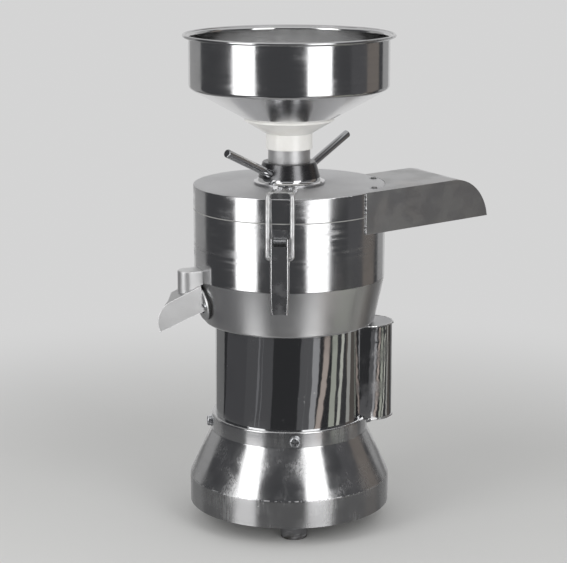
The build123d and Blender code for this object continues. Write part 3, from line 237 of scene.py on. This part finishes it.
bell_steel = spun_steel("bell_steel", (0.63, 0.63, 0.635), 0.15)
crease_height = 0.0575
broken_line = bell_steel.grain(bell_steel.x * 300, bell_steel.y * 300, bell_steel.z * 300)
crease = bell_steel.step(abs(bell_steel.z - crease_height), 0.0011, 0.0002)
crease = crease * bell_steel.step(broken_line, 0.45, 0.6)
down_the_flare = bell_steel.grain(bell_steel.x * 620, bell_steel.y * 620, bell_steel.z * 24, 3)
scuff_patch = bell_steel.step(bell_steel.cloud(34, 5), 0.4, 0.7)
scuffs = bell_steel.step(down_the_flare, 0.25, 0.75) * scuff_patch
bell_steel.tint(crease * 0.8, (0.86, 0.86, 0.87))
bell_steel.tint(scuffs * 0.7, (0.85, 0.85, 0.85))
bell_steel.roughness = bell_steel.roughness + crease * 0.3 + scuffs * 0.16
bell_steel.cover("base_bell")


# Bottom plate: a flat steel disc with slots that let the fan draw air. It is pressed, left satin, and
# gathers dust round its slots. The stone carrier and holder have the same satin.
def satin_steel(name, colour, roughness):
    """Sheet with a fine even satin from the mill."""
    finish = Finish(name, colour, metallic=1.0)
    patch = finish.cloud(24, 4)
    finish.roughness = roughness + (patch - 0.5) * 0.2
    finish.tint(finish.step(patch, 0.45, 0.7) * 0.4, tuple(0.86 * share for share in colour))
    finish.relief(finish.cloud(1300, 2), 0.00002)
    return finish


plate_satin = satin_steel("plate_satin", (0.5, 0.5, 0.5), 0.38)
plate_satin.tint(plate_satin.step(plate_satin.cloud(45, 5), 0.5, 0.75) * 0.6, (0.3, 0.28, 0.25))
plate_satin.cover("bottom_plate", "stone_carrier", "stone_holder")

# Motor body: a tube of bright drawn stainless pressed over the two end shields. It was rolled from
# sheet, so its faint lines run upwards, its wall waves a little, and it has small nicks and wiped marks.
motor_steel = Finish("motor_steel", (0.6, 0.605, 0.61), metallic=1.0)
drawn = motor_steel.grain(motor_steel.x * 500, motor_steel.y * 500, motor_steel.z * 10, 3)
wiped = motor_steel.step(motor_steel.cloud(20, 5), 0.48, 0.7)
nick = motor_steel.step(motor_steel.cloud(240, 1), 0.76, 0.82)
motor_steel.roughness = 0.06 + wiped * 0.05 + nick * 0.2
motor_steel.tint(wiped * 0.4, (0.52, 0.53, 0.54))
motor_steel.tint(nick * 0.6, (0.85, 0.85, 0.85))
motor_steel.relief(drawn, 0.000006)
motor_steel.relief(motor_steel.cloud(9, 1), 0.0009)
motor_steel.relief(motor_steel.cloud(24, 2), 0.00032)
motor_steel.cover("motor_skin")

# End shields: cast aluminium discs that centre the bearings. The castings keep a sandy skin.
cast_alloy = Finish("cast_alloy", (0.48, 0.48, 0.48), metallic=1.0)
sandy = cast_alloy.cloud(420, 4)
cast_alloy.roughness = 0.45 + sandy * 0.25
cast_alloy.tint(cast_alloy.step(sandy, 0.4, 0.65) * 0.5, (0.36, 0.36, 0.36))
cast_alloy.relief(sandy, 0.0003)
cast_alloy.cover("lower_end_shield", "upper_end_shield")

# Stator and rotor cores: stacks of punched laminations, blued by heat, with the edges of the sheets
# showing as fine level lines.
lamination = 0.001
core_steel = Finish("core_steel", (0.14, 0.145, 0.16), metallic=1.0)
up_the_stack = core_steel.z * (2 * math.pi / lamination)
sheets = core_steel.node("ShaderNodeMath", {"operation": "SINE"}, {0: up_the_stack})
core_steel.roughness = 0.42 + core_steel.cloud(80, 3) * 0.2
core_steel.tint(core_steel.step(core_steel.cloud(60, 4), 0.5, 0.7) * 0.5, (0.2, 0.13, 0.09))
core_steel.relief(sheets * 0.5 + 0.5, 0.0001)
core_steel.cover("stator_core", "rotor_core")

# Windings: lacquered copper wire wound in rings at both ends of the core, and dipped in amber varnish
# that has darkened in places.
winding_wire = Finish("winding_wire", (0.5, 0.2, 0.07), metallic=0.85, coat_weight=0.5, coat_roughness=0.15)
around = winding_wire.node("ShaderNodeMath", {"operation": "ARCTAN2"}, {0: winding_wire.y, 1: winding_wire.x})
across_wires = (winding_wire.z + winding_wire.radius) * 5200 + around * 9
wires = winding_wire.node("ShaderNodeMath", {"operation": "SINE"}, {0: across_wires})
winding_wire.roughness = 0.3 + winding_wire.cloud(200) * 0.2
winding_wire.tint(winding_wire.step(winding_wire.cloud(70, 3), 0.5, 0.7) * 0.6, (0.33, 0.1, 0.03))
winding_wire.relief(wires * 0.5 + 0.5, 0.0003)
winding_wire.cover("stator_windings")

# Shaft and bearings: steel that is hardened and ground on its axis, with a thin film of oil. The stone
# spring is oiled in the same way.
ground_steel = spun_steel("ground_steel", (0.56, 0.56, 0.57), 0.2)
ground_steel.cover("motor_shaft", "lower_bearing", "upper_bearing", "stone_spring")

# Fan, switch body, gland and capacitor: moulded black plastic, matt, with a faint leathery skin from
# the mould.
moulded_black = Finish("moulded_black", (0.018, 0.018, 0.02), specular_ior_level=0.4)
moulded_black.roughness = 0.42 + moulded_black.cloud(260) * 0.22
moulded_black.tint(moulded_black.step(moulded_black.cloud(40, 4), 0.5, 0.75) * 0.6, (0.045, 0.045, 0.045))
moulded_black.relief(moulded_black.cloud(1100), 0.00008)
moulded_black.cover("cooling_fan", "power_switch", "cable_gland", "gland_cap", "capacitor")

# Capacitor box: stainless sheet bent round the capacitor and tacked to the motor body, with two flat
# caps. It is polished, and its bent face keeps upright draw lines.
box_steel = Finish("box_steel", (0.62, 0.62, 0.625), metallic=1.0)
box_lines = box_steel.grain(box_steel.x * 420, box_steel.y * 420, box_steel.z * 9, 3)
box_smear = box_steel.step(box_steel.cloud(32, 4), 0.46, 0.66)
box_steel.roughness = 0.06 + box_smear * 0.16
box_steel.tint(box_smear * 0.5, (0.52, 0.52, 0.53))
box_steel.relief(box_lines, 0.000008)
box_steel.relief(box_steel.cloud(38, 2), 0.0006)
box_steel.cover("capacitor_box")
cap_steel = satin_steel("cap_steel", (0.43, 0.43, 0.44), 0.3)
cap_steel.cover("capacitor_box_caps")

# Weld beads: where each cap meets the box, and where the near side of the chute meets the bowl, a bright
# bead was run by hand, so it swells and thins as it goes. It is wiped clean but not ground.
bead_steel = plated_steel("bead_steel", (0.85, 0.85, 0.85), 0.12)
bead_steel.cover()


def new_piece(name, mesh, finish, smooth):
    """Turns a bmesh into an object of the scene with one finish."""
    data = bpy.data.meshes.new(name)
    mesh.to_mesh(data)
    mesh.free()
    data.polygons.foreach_set("use_smooth", [smooth] * len(data.polygons))
    data.materials.append(finish.material)
    made = bpy.data.objects.new(name, data)
    bpy.context.scene.collection.objects.link(made)
    return made


def level(turn):
    """The level direction at an angle in degrees from the right, anticlockwise seen from above."""
    return Vector((math.cos(math.radians(turn)), math.sin(math.radians(turn)), 0))


def swept_bar(name, places, finish):
    """A round bar along places, each a point, the way that faces outwards there, and the bar's radius."""
    mesh = bmesh.new()
    rings = []
    sides = [level(30 * side) for side in range(12)]
    for k, (point, out, size) in enumerate(places):
        ahead = places[min(k + 1, len(places) - 1)][0] - places[max(k - 1, 0)][0]
        beside = ahead.normalized().cross(out)
        rings.append([mesh.verts.new(point + size * (out * side.x + beside * side.y)) for side in sides])
    for first, second in zip(rings, rings[1:]):
        for side in range(len(sides)):
            mesh.faces.new((first[side], first[side - 1], second[side - 1], second[side]))
    mesh.faces.new(rings[0])
    mesh.faces.new(reversed(rings[-1]))
    bmesh.ops.recalc_face_normals(mesh, faces=mesh.faces)
    return new_piece(name, mesh, finish, True)


def weld_bead(name, route, size):
    """A lumpy bead along a route of points, each with the way that faces outwards there."""
    lumps_per_metre = 420
    places = []
    for point, out in route:
        swell = 0.85 + 0.45 * noise.noise(point * lumps_per_metre)
        places.append((point, out, size * swell))
    bead = swept_bar(name, places, bead_steel)
    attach(bead, "stand")


upright = Vector((0, 0, 1))
box_centre, box_radius = 0.097, 0.0300
cap_bead, side_bead = 0.0013, 0.0009
near_side, far_side = Vector((0, -1, 0)), Vector((0, 1, 0))
for name, height, start in (("upper_cap_weld", 0.2484, 0.0884), ("lower_cap_weld", 0.1316, 0.0968)):
    flats = [Vector((start + (box_centre - start) * k / 10, 0, height)) for k in range(10)]
    nose = Vector((box_centre, 0, height))
    route = [(flat + box_radius * near_side, near_side) for flat in flats]
    route += [(nose + box_radius * level(turn), level(turn)) for turn in range(-90, 91, 3)]
    route += [(flat + box_radius * far_side, far_side) for flat in reversed(flats)]
    weld_bead(name, route, cap_bead)
chute_foot = Vector((0.0903, -0.0744, 0.3708))
chute_out = Vector((chute_foot.x, chute_foot.y, 0)).normalized()
chute_joint, joint_steps = 0.048, 60
rises = [chute_joint * k / joint_steps for k in range(joint_steps + 1)]
weld_bead("chute_side_weld", [(chute_foot + rise * upright, chute_out) for rise in rises], side_bead)

# Stone spring: round wire coiled on a mandrel, with its end turns closed, that keeps the upper stone
# down. It is oiled, and it is coiled to span between the holder and the hub.
wire_radius, coil_radius = 0.0018, 0.0282
open_turns, closed_turn, steps_per_turn = 4, 0.5, 48
holder_top, hub_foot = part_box("stone_holder")[1].z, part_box("lid_hub")[0].z
coil_rise = hub_foot - holder_top - 2 * wire_radius
coil_places = []
for k in range(int(steps_per_turn * (open_turns + 2 * closed_turn)) + 1):
    turn = k / steps_per_turn
    height = holder_top + wire_radius + coil_rise * min(max((turn - closed_turn) / open_turns, 0), 1)
    coil_places.append((coil_radius * level(360 * turn) + height * upright, level(360 * turn), wire_radius))
coil = swept_bar("stone_spring_coil", coil_places, ground_steel)
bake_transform(coil)
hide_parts("stone_spring")


# Bowl: stainless sheet spun into a wide wall and a cone that narrows to the motor. The wall is buffed
# bright and the cone was only brushed, so it is rougher, and its colour is painted paler as painted light.
def hand_marks(finish, lowest, strength):
    """Faint level smears in patches above a height, where hands and cloths rub a buffed wall."""
    smears = finish.step(finish.grain(finish.x * 14, finish.y * 14, finish.z * 260, 4), 0.35, 0.8)
    patch = finish.step(finish.cloud(24, 4), 0.42, 0.7) * finish.step(finish.z, lowest, lowest + 0.002)
    finish.roughness = finish.roughness + smears * patch * strength
    finish.tint(smears * patch * 0.4, (0.76, 0.76, 0.76))


bowl_steel = spun_steel("bowl_steel", (0.64, 0.64, 0.645), 0.13, 0.000006)
bowl_crease = 0.309
hand_marks(bowl_steel, bowl_crease, 0.22)
brushed_and_painted_pale = bowl_steel.step(bowl_steel.z, bowl_crease + 0.001, bowl_crease - 0.001)
bowl_steel.roughness = bowl_steel.roughness + brushed_and_painted_pale * 0.18
# Painted light: the cone's colour is painted paler than the wall's.
bowl_steel.tint(brushed_and_painted_pale, (0.84, 0.84, 0.84))
bowl_steel.cover("bowl")

# Shaft seal and spout gasket: black rubber rings, one moulded and one cut from sheet. They are slightly
# shiny from wet.
black_seal = Finish("black_seal", (0.02, 0.02, 0.02), specular_ior_level=0.5)
black_seal.roughness = 0.32 + black_seal.cloud(150) * 0.3
black_seal.relief(black_seal.cloud(500), 0.0001)
black_seal.cover("shaft_seal", "spout_gasket")


# Milk spout: a hood folded and welded from thin stainless, screwed to the cone by a round flange, with
# a half-round outlet box standing on its root. Its sheet is satin with streaks that follow its fall, and
# its folds carry a painted highlight. The outlet box and the flange are painted paler, as painted light.
def painted_fold_highlight(finish, width):
    """1 where the surface folds within a width in metres, 0 on the flat: the mask of a painted highlight
    along folds.
    """
    flat = finish.node("ShaderNodeNewGeometry", {}, {}, "Normal")
    rounded = finish.node("ShaderNodeBevel", {"samples": 8}, {"Radius": width})
    facing = finish.node("ShaderNodeVectorMath", {"operation": "DOT_PRODUCT"}, {0: flat, 1: rounded}, "Value")
    return finish.step(facing, 0.995, 0.9)


def round_folds(name):
    """Rounds the sharp folds of a piece that was bent from sheet."""
    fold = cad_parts[name].modifiers.new("folded_edges", "BEVEL")
    fold.width = 0.0005
    fold.segments = 2
    fold.limit_method = "ANGLE"
    fold.angle_limit = math.radians(40)


spout_steel = satin_steel("spout_steel", (0.58, 0.58, 0.58), 0.38)
streaks = spout_steel.grain(spout_steel.x * 60, spout_steel.y * 60, spout_steel.z * 500, 3)
spout_steel.relief(streaks, 0.000008)
spout_steel.roughness = spout_steel.roughness + (streaks - 0.5) * 0.16
# Painted highlight: a near-white line along the spout's folds.
spout_steel.tint(painted_fold_highlight(spout_steel, 0.0014), (0.97, 0.97, 0.97))
spout_steel.cover("milk_spout")
# Painted light: the outlet box and the flange are paler copies of the spout's satin steel.
outlet_painted_pale_steel = satin_steel("outlet_painted_pale_steel", (0.86, 0.86, 0.86), 0.5)
outlet_painted_pale_steel.cover("outlet_box")
flange_painted_pale_steel = satin_steel("flange_painted_pale_steel", (0.82, 0.82, 0.82), 0.42)
flange_painted_pale_steel.cover("spout_flange")
round_folds("milk_spout")
round_folds("outlet_box")

# Lid gasket: a thin ring of silicone squeezed between the bowl's edge and the lid. It was moulded
# white, and has greyed with use.
silicone = Finish("silicone", (0.3, 0.3, 0.29))
silicone.tint(silicone.step(silicone.cloud(60), 0.5, 0.7) * 0.5, (0.2, 0.19, 0.18))
silicone.roughness = 0.42 + silicone.cloud(220) * 0.2
silicone.cover("lid_gasket")

# Lid: a spun stainless cap with a flat top. Its side is buffed with the bowl, and its top is satin with
# rings so fine that it looks an even grey, and its colour is painted paler as painted light. A painted
# shadow darkens the top round the two rivets that hold the chute.
lid_steel = spun_steel("lid_steel", (0.64, 0.64, 0.645), 0.14)
hand_marks(lid_steel, bowl_crease, 0.22)
lid_top = 0.42
flat_top = lid_steel.step(lid_steel.z, lid_top - 0.0010, lid_top - 0.0001)
lid_steel.roughness = lid_steel.roughness + flat_top * 0.34
# Painted light: the flat top's colour is paler than the side's.
lid_steel.tint(flat_top, (0.72, 0.72, 0.73))
shadow_fray = lid_steel.step(lid_steel.cloud(300, 3), 0.3, 0.7)
chute_turn = math.radians(40.0)
rivet_circle = 0.108
shadow_edge, shadow_middle = 0.0085, 0.004
for before_chute in (22.8, 60.7):
    rivet_turn = chute_turn - math.radians(before_chute)
    rivet_x, rivet_y = rivet_circle * math.cos(rivet_turn), rivet_circle * math.sin(rivet_turn)
    from_rivet = ((lid_steel.x - rivet_x) ** 2 + (lid_steel.y - rivet_y) ** 2) ** 0.5
    rivet_shadow = lid_steel.step(from_rivet + shadow_fray * 0.003, shadow_edge, shadow_middle)
    # Painted shadow: dark ragged patches on the top round the two rivets.
    lid_steel.tint(rivet_shadow * flat_top * 0.75, (0.12, 0.12, 0.12))
lid_steel.cover("lid")

# Dregs chute: thin sheet folded into a hood and riveted under the lid with soft alloy rivets. It was
# never polished, so it is a dull grey with brush lines along its run and water stains. Its top is
# painted darker as painted shade, and its folds carry a painted highlight.
chute_steel = Finish("chute_steel", (0.66, 0.66, 0.665), metallic=1.0)
along = chute_steel.x * math.cos(chute_turn) + chute_steel.y * math.sin(chute_turn)
across = chute_steel.y * math.cos(chute_turn) - chute_steel.x * math.sin(chute_turn)
chute_lines = chute_steel.grain(along * 14, across * 700, chute_steel.z * 700, 3)
chute_top = chute_steel.step(chute_steel.z, lid_top - 0.0004, lid_top + 0.0002)
stain = chute_steel.step(chute_steel.cloud(28, 6), 0.42, 0.62) * (1.0 - chute_top * 0.6)
chute_steel.roughness = 0.36 + stain * 0.16 + (chute_lines - 0.5) * 0.12
# Painted shade: the chute's top is painted darker than its sides.
chute_steel.tint(chute_top, (0.47, 0.47, 0.475))
chute_steel.tint(stain * 0.75, (0.46, 0.46, 0.455))
chute_steel.tint(chute_steel.step(chute_steel.cloud(17, 3), 0.45, 0.7) * 0.28, (0.6, 0.55, 0.52))
chute_steel.tint(chute_steel.step(chute_steel.cloud(70, 5), 0.6, 0.7) * 0.35, (0.65, 0.65, 0.65))
# Painted highlight: a pale line along the chute's folds.
chute_steel.tint(painted_fold_highlight(chute_steel, 0.0008) * 0.7, (0.86, 0.86, 0.86))
chute_steel.relief(chute_lines, 0.00002)
chute_steel.relief(chute_steel.cloud(12, 2), 0.0008)
chute_steel.cover("dregs_chute")
round_folds("dregs_chute")
rivet_alloy = Finish("rivet_alloy", (0.3, 0.3, 0.3), metallic=1.0)
rivet_alloy.tint(rivet_alloy.step(rivet_alloy.cloud(420, 3), 0.5, 0.65) * 0.7, (0.08, 0.08, 0.08))
rivet_alloy.roughness = 0.35 + rivet_alloy.cloud(300) * 0.3
rivet_alloy.relief(rivet_alloy.cloud(700), 0.0002)
rivet_alloy.cover("chute_rivets")

# Lid hub: the bush that guides the feed stem. It is turned from stainless bar and flanged on top of
# the lid.
hub_steel = spun_steel("hub_steel", (0.62, 0.62, 0.625), 0.17)
hub_steel.cover("lid_hub")

# Hand nut and rods: turned bar, chromed, with two rods screwed in at a rise so that the hands clear the
# lid. The nut's colour is painted dark above, standing in for dark reflections, and its foot is polished
# and painted brighter as a painted highlight.
chrome = spun_steel("chrome", (0.56, 0.565, 0.575), 0.1, 0.000006)
chrome.cover("handle_rods")
# Painted reflection: the chromed nut is given a near-black colour.
nut_painted_dark_steel = spun_steel("nut_painted_dark_steel", (0.17, 0.17, 0.175), 0.26, 0.000006)
foot_top = lid_top + 0.0082
painted_bright_foot = nut_painted_dark_steel.step(nut_painted_dark_steel.z, foot_top + 0.0004, foot_top - 0.0004)
# Painted highlight: the nut's foot is painted bright.
nut_painted_dark_steel.tint(painted_bright_foot, (0.8, 0.8, 0.81))
nut_painted_dark_steel.roughness = nut_painted_dark_steel.roughness - painted_bright_foot * 0.18
nut_painted_dark_steel.cover("hand_nut")

# Feed stem: thick stainless tube with a coarse thread on its outside that the hand nut works on. The
# thread is cut on a lathe and greased, so it looks dull beside the polished nut.
thread_steel = spun_steel("thread_steel", (0.82, 0.82, 0.82), 0.5, 0.00008)
thread_steel.cover("feed_stem")

# Grindstones: two rings of bonded grit, the lower one turning under the upper. The grains sparkle
# faintly and the face is dressed rough.
grit = Finish("grit", (0.2, 0.19, 0.18))
grains = grit.cloud(1100, 3)
grit.tint(grit.step(grains, 0.48, 0.62), (0.38, 0.36, 0.33))
grit.tint(grit.step(grit.cloud(520, 2), 0.62, 0.7) * 0.8, (0.07, 0.07, 0.07))
grit.roughness = 0.82 + grains * 0.15
grit.relief(grains, 0.0006)
grit.cover("lower_grindstone", "upper_grindstone")

# Filter basket: a cone of perforated stainless sheet with a turned-out rim. It turns with the lower
# stone and spins the milk out of the pulp.
basket_steel = spun_steel("basket_steel", (0.6, 0.6, 0.6), 0.25)
basket_steel.cover("filter_basket")

# Hopper seat: a funnel moulded in off-white nylon that sits on the stem and cradles the hopper's cone.
# It is glossy where hands turn it, and has yellowed a little.
nylon = Finish("nylon", (0.95, 0.94, 0.91))
nylon.tint(nylon.step(nylon.cloud(40, 4), 0.46, 0.7) * 0.5, (0.88, 0.86, 0.81))
nylon.roughness = 0.12 + nylon.cloud(120) * 0.14
nylon.relief(nylon.cloud(60, 2), 0.0002)
nylon.cover("hopper_seat")

# Hopper: a deep stainless funnel spun in one piece, with a straight wall and a rim rolled over a wire.
# It is the brightest piece of the machine, buffed inside and out, and its cone and the inside of its
# wall are painted paler as painted light.
hopper_steel = spun_steel("hopper_steel", (0.64, 0.64, 0.645), 0.11)
hopper_bend, inner_wall = 0.536, 0.1195
hand_marks(hopper_steel, hopper_bend, 0.1)
cone = hopper_steel.step(hopper_steel.z, hopper_bend + 0.001, hopper_bend - 0.001)
within = hopper_steel.step(hopper_steel.radius, inner_wall + 0.0003, inner_wall)
within = within * hopper_steel.step(hopper_steel.z, hopper_bend, hopper_bend + 0.002)
hopper_steel.roughness = hopper_steel.roughness + cone * 0.04 - within * 0.02
# Painted light: the cone and the inside of the wall are painted paler.
hopper_steel.tint(cone, (0.84, 0.84, 0.845))
hopper_steel.tint(within, (0.8, 0.8, 0.8))
hopper_steel.cover("hopper")

# Latches: pressed stainless catch strips, eared bases and channel levers, with bails bent from wire.
# They are tumbled bright, and their edges carry a painted highlight.
latch_steel = Finish("latch_steel", (0.68, 0.68, 0.685), metallic=1.0)
tumbled = latch_steel.cloud(260, 3)
latch_steel.roughness = 0.2 + latch_steel.step(latch_steel.cloud(60, 4), 0.45, 0.7) * 0.12 + tumbled * 0.05
latch_steel.tint(latch_steel.step(tumbled, 0.5, 0.7) * 0.3, (0.52, 0.52, 0.52))
# Painted highlight: a near-white line along the latch edges.
latch_steel.tint(painted_fold_highlight(latch_steel, 0.001), (0.96, 0.96, 0.96))
latch_steel.relief(latch_steel.cloud(120, 2), 0.0001)
latch_steel.cover("lid_catches", "latch_bases", "front_latch_lever", "rear_latch_lever")
bail_wire = plated_steel("bail_wire", (0.95, 0.95, 0.95), 0.3)
bail_wire.cover("front_latch_bail", "rear_latch_bail")


# Floor: a plain pale sweep, painted matt, that the machine stands on. It keeps the machine's shadow
# close by, and further out it fades into the even pale surround.
def seen_directly(nodes):
    """1 for what the camera sees, also in metal and through glass, and 0 for the light on the machine."""
    rays = ("Is Camera Ray", "Is Glossy Ray", "Is Transmission Ray")
    seen, mirrored, passed = (nodes.node("ShaderNodeLightPath", {}, {}, ray) for ray in rays)
    return seen + mirrored + passed


surround = 0.66
floor_sides = 64
fade_start, fade_end = 0.35, 1.1
floor_paint = Finish("floor_paint", (0.74, 0.74, 0.73), 0.9, specular_ior_level=0.1)
floor_paint.tint(floor_paint.step(floor_paint.cloud(3, 2), 0.3, 0.8) * 0.3, (0.7, 0.7, 0.69))
floor_paint.cover()
faded = floor_paint.step(floor_paint.radius, fade_start, fade_end) * seen_directly(floor_paint)
glow = floor_paint.node("ShaderNodeEmission", {}, {"Color": (surround, surround, surround, 1.0)})
painted = Value(floor_paint.tree, floor_paint.surface.outputs[0])
shown = floor_paint.node("ShaderNodeMixShader", {}, {0: faded, 1: painted, 2: glow})
floor_paint.feed(floor_paint.tree.nodes["Material Output"].inputs["Surface"], shown)

floor_mesh = bmesh.new()
middle_of_floor = floor_mesh.verts.new((0, 0, 0))
rings = []
for radius in (0.25, 0.5, 1.0, 2.0, 4.0, 9.0):
    directions = [level(360 * k / floor_sides) for k in range(floor_sides)]
    rings.append([floor_mesh.verts.new(radius * direction) for direction in directions])
for k in range(floor_sides):
    floor_mesh.faces.new((middle_of_floor, rings[0][k - 1], rings[0][k]))
for inner, outer in zip(rings, rings[1:]):
    for k in range(floor_sides):
        floor_mesh.faces.new((inner[k - 1], outer[k - 1], outer[k], inner[k]))
new_piece("floor", floor_mesh, floor_paint, False)


# Studio cards: bent paper cards, dark and pale, that stand and lie round the machine, and a shiny table
# top round its foot. Only its glossy faces see them, and take from them the stripes of a room.
def studio_card(name, start, stop, heights, reach, brightness, shine=0.0, lean=0.0):
    """A card from one angle to another, in degrees from the front to the right, between two circles."""
    card_mesh = bmesh.new()
    steps = max(2, int(abs(stop - start) / 6))
    pairs = []
    for k in range(steps + 1):
        turn = start + (stop - start) * k / steps
        pairs.append([
            card_mesh.verts.new(radius * level(turn + shift - 90) + height * upright)
            for radius, height, shift in zip(reach, heights, (0.0, lean))
        ])
    for first, second in zip(pairs, pairs[1:]):
        card_mesh.faces.new((first[0], second[0], second[1], first[1]))
    constants = {"emission_color": (*brightness, 1.0), "emission_strength": 1.0, "specular_ior_level": 0.0}
    constants["metallic"] = 1.0 if shine else 0.0
    card_paint = Finish(name + "_paint", (shine, shine, shine), 0.2, **constants)
    card_paint.cover()
    card = new_piece(name, card_mesh, card_paint, False)
    for ray in ("camera", "diffuse", "transmission", "shadow", "volume_scatter"):
        setattr(card, "visible_" + ray, False)


card_circle, low_circle, card_height = 1.36, 1.1, 1.7
table_foot, table_bend, table_edge = 0.128, 0.28, 0.497
low_layer, stripe_layer, table_layer = (0.002, 0.001), (0.003, 0.002), (0.004, 0.003)
low_dimming = 0.55
dark, grey, pale = (0.068, 0.069, 0.073), (0.1, 0.1, 0.105), (0.36, 0.36, 0.36)
beige, table_glow = (0.2, 0.18, 0.165), (0.1, 0.1, 0.1)
ring_of_cards = (
    ("card_front", -64, 47, dark), ("card_right_front", 47, 71, dark), ("card_right", 71, 95, grey),
    ("card_right_back", 95, 118, beige), ("card_right_gap", 118, 128, dark),
    ("card_back_right", 128, 150, pale),
    ("card_left_front", -115, -64, dark), ("card_left_back", -150, -115, pale),
)
for name, start, stop, brightness in ring_of_cards:
    studio_card(name, start, stop, (0.0, card_height), (card_circle, card_circle), brightness)
    dimmed = [low_dimming * share for share in brightness]
    studio_card("low_" + name, start, stop, low_layer, (table_edge, card_circle), dimmed)
low_cards = (
    ("low_left_far", -112, -70, 6.0, (0.085, 0.085, 0.09)),
    ("low_left_dim", -70, -28, 6.0, grey), ("low_left_light", -58, -44, 6.0, (0.2, 0.2, 0.21)),
    ("low_right_dim", 8, 26, 10.0, (0.12, 0.12, 0.125)),
    ("low_right_light", 16, 33, 14.0, (0.38, 0.38, 0.39)),
    ("low_beige", 33, 42, 22.0, (0.5, 0.43, 0.39)), ("low_green", 56, 66, 12.0, (0.44, 0.46, 0.4)),
    ("low_pale", 70, 76, 16.0, (0.6, 0.61, 0.55)), ("low_edge", 90, 98, 10.0, (0.4, 0.4, 0.38)),
)
for name, start, stop, lean, brightness in low_cards:
    studio_card(name, start, stop, stripe_layer, (table_edge, low_circle), brightness, lean=lean)
table_top = table_layer[0]
studio_card("near_table", -180, 180, (table_top, table_top), (table_foot, table_bend), table_glow, 0.22)
studio_card("far_table", -180, 180, table_layer, (table_bend, table_edge), table_glow, 0.4)

# Lamps: two tall soft boxes, to the left and to the right of the camera, just inside the cards. Their
# light is level and plain, so that a colour looks about as it is written.
lamp_width, lamp_height, lamp_power = 0.62, 1.65, 7.5
lamp_circle, lamp_middle = 1.3, 0.83
for name, turn in (("left_soft_light", -50.5), ("right_soft_light", 33.2)):
    lamp_data = bpy.data.lights.new(name, "AREA")
    lamp_data.shape = "RECTANGLE"
    lamp_data.size = lamp_width
    lamp_data.size_y = lamp_height
    lamp_data.energy = lamp_power
    lamp = bpy.data.objects.new(name, lamp_data)
    lamp.location = lamp_circle * level(turn - 90) + lamp_middle * upright
    lamp.rotation_euler = (math.radians(90), 0, math.radians(turn))
    lamp.visible_camera = False
    bpy.context.scene.collection.objects.link(lamp)

# Surround: even light from all sides, like that of a white tent. What the camera and the metal see of
# it is a little brighter than the light that it gives.
tent_light = 0.58
world = bpy.data.worlds.new("surround")
world.use_nodes = True
bpy.context.scene.world = world
tent = Nodes(world.node_tree)
backdrop = world.node_tree.nodes["Background"].inputs
tent.feed(backdrop["Color"], (1.0, 1.0, 1.0, 1.0))
tent.feed(backdrop["Strength"], seen_directly(tent) * (surround - tent_light) + tent_light)

# Camera: a long lens a little above the machine and straight in front of it. The small shift puts the
# machine where the photograph has it.
lens = bpy.data.cameras.new("camera")
lens.sensor_width = 36.0
lens.lens = 118.6
lens.shift_x = -0.01005
lens.clip_end = 50.0
camera = bpy.data.objects.new("camera", lens)
camera.location = (0.0, -2.229, 0.7921)
camera.rotation_euler = (math.radians(77.5), 0.0, 0.0)
bpy.context.scene.collection.objects.link(camera)
bpy.context.scene.camera = camera
bpy.context.scene.view_settings.view_transform = "Standard"
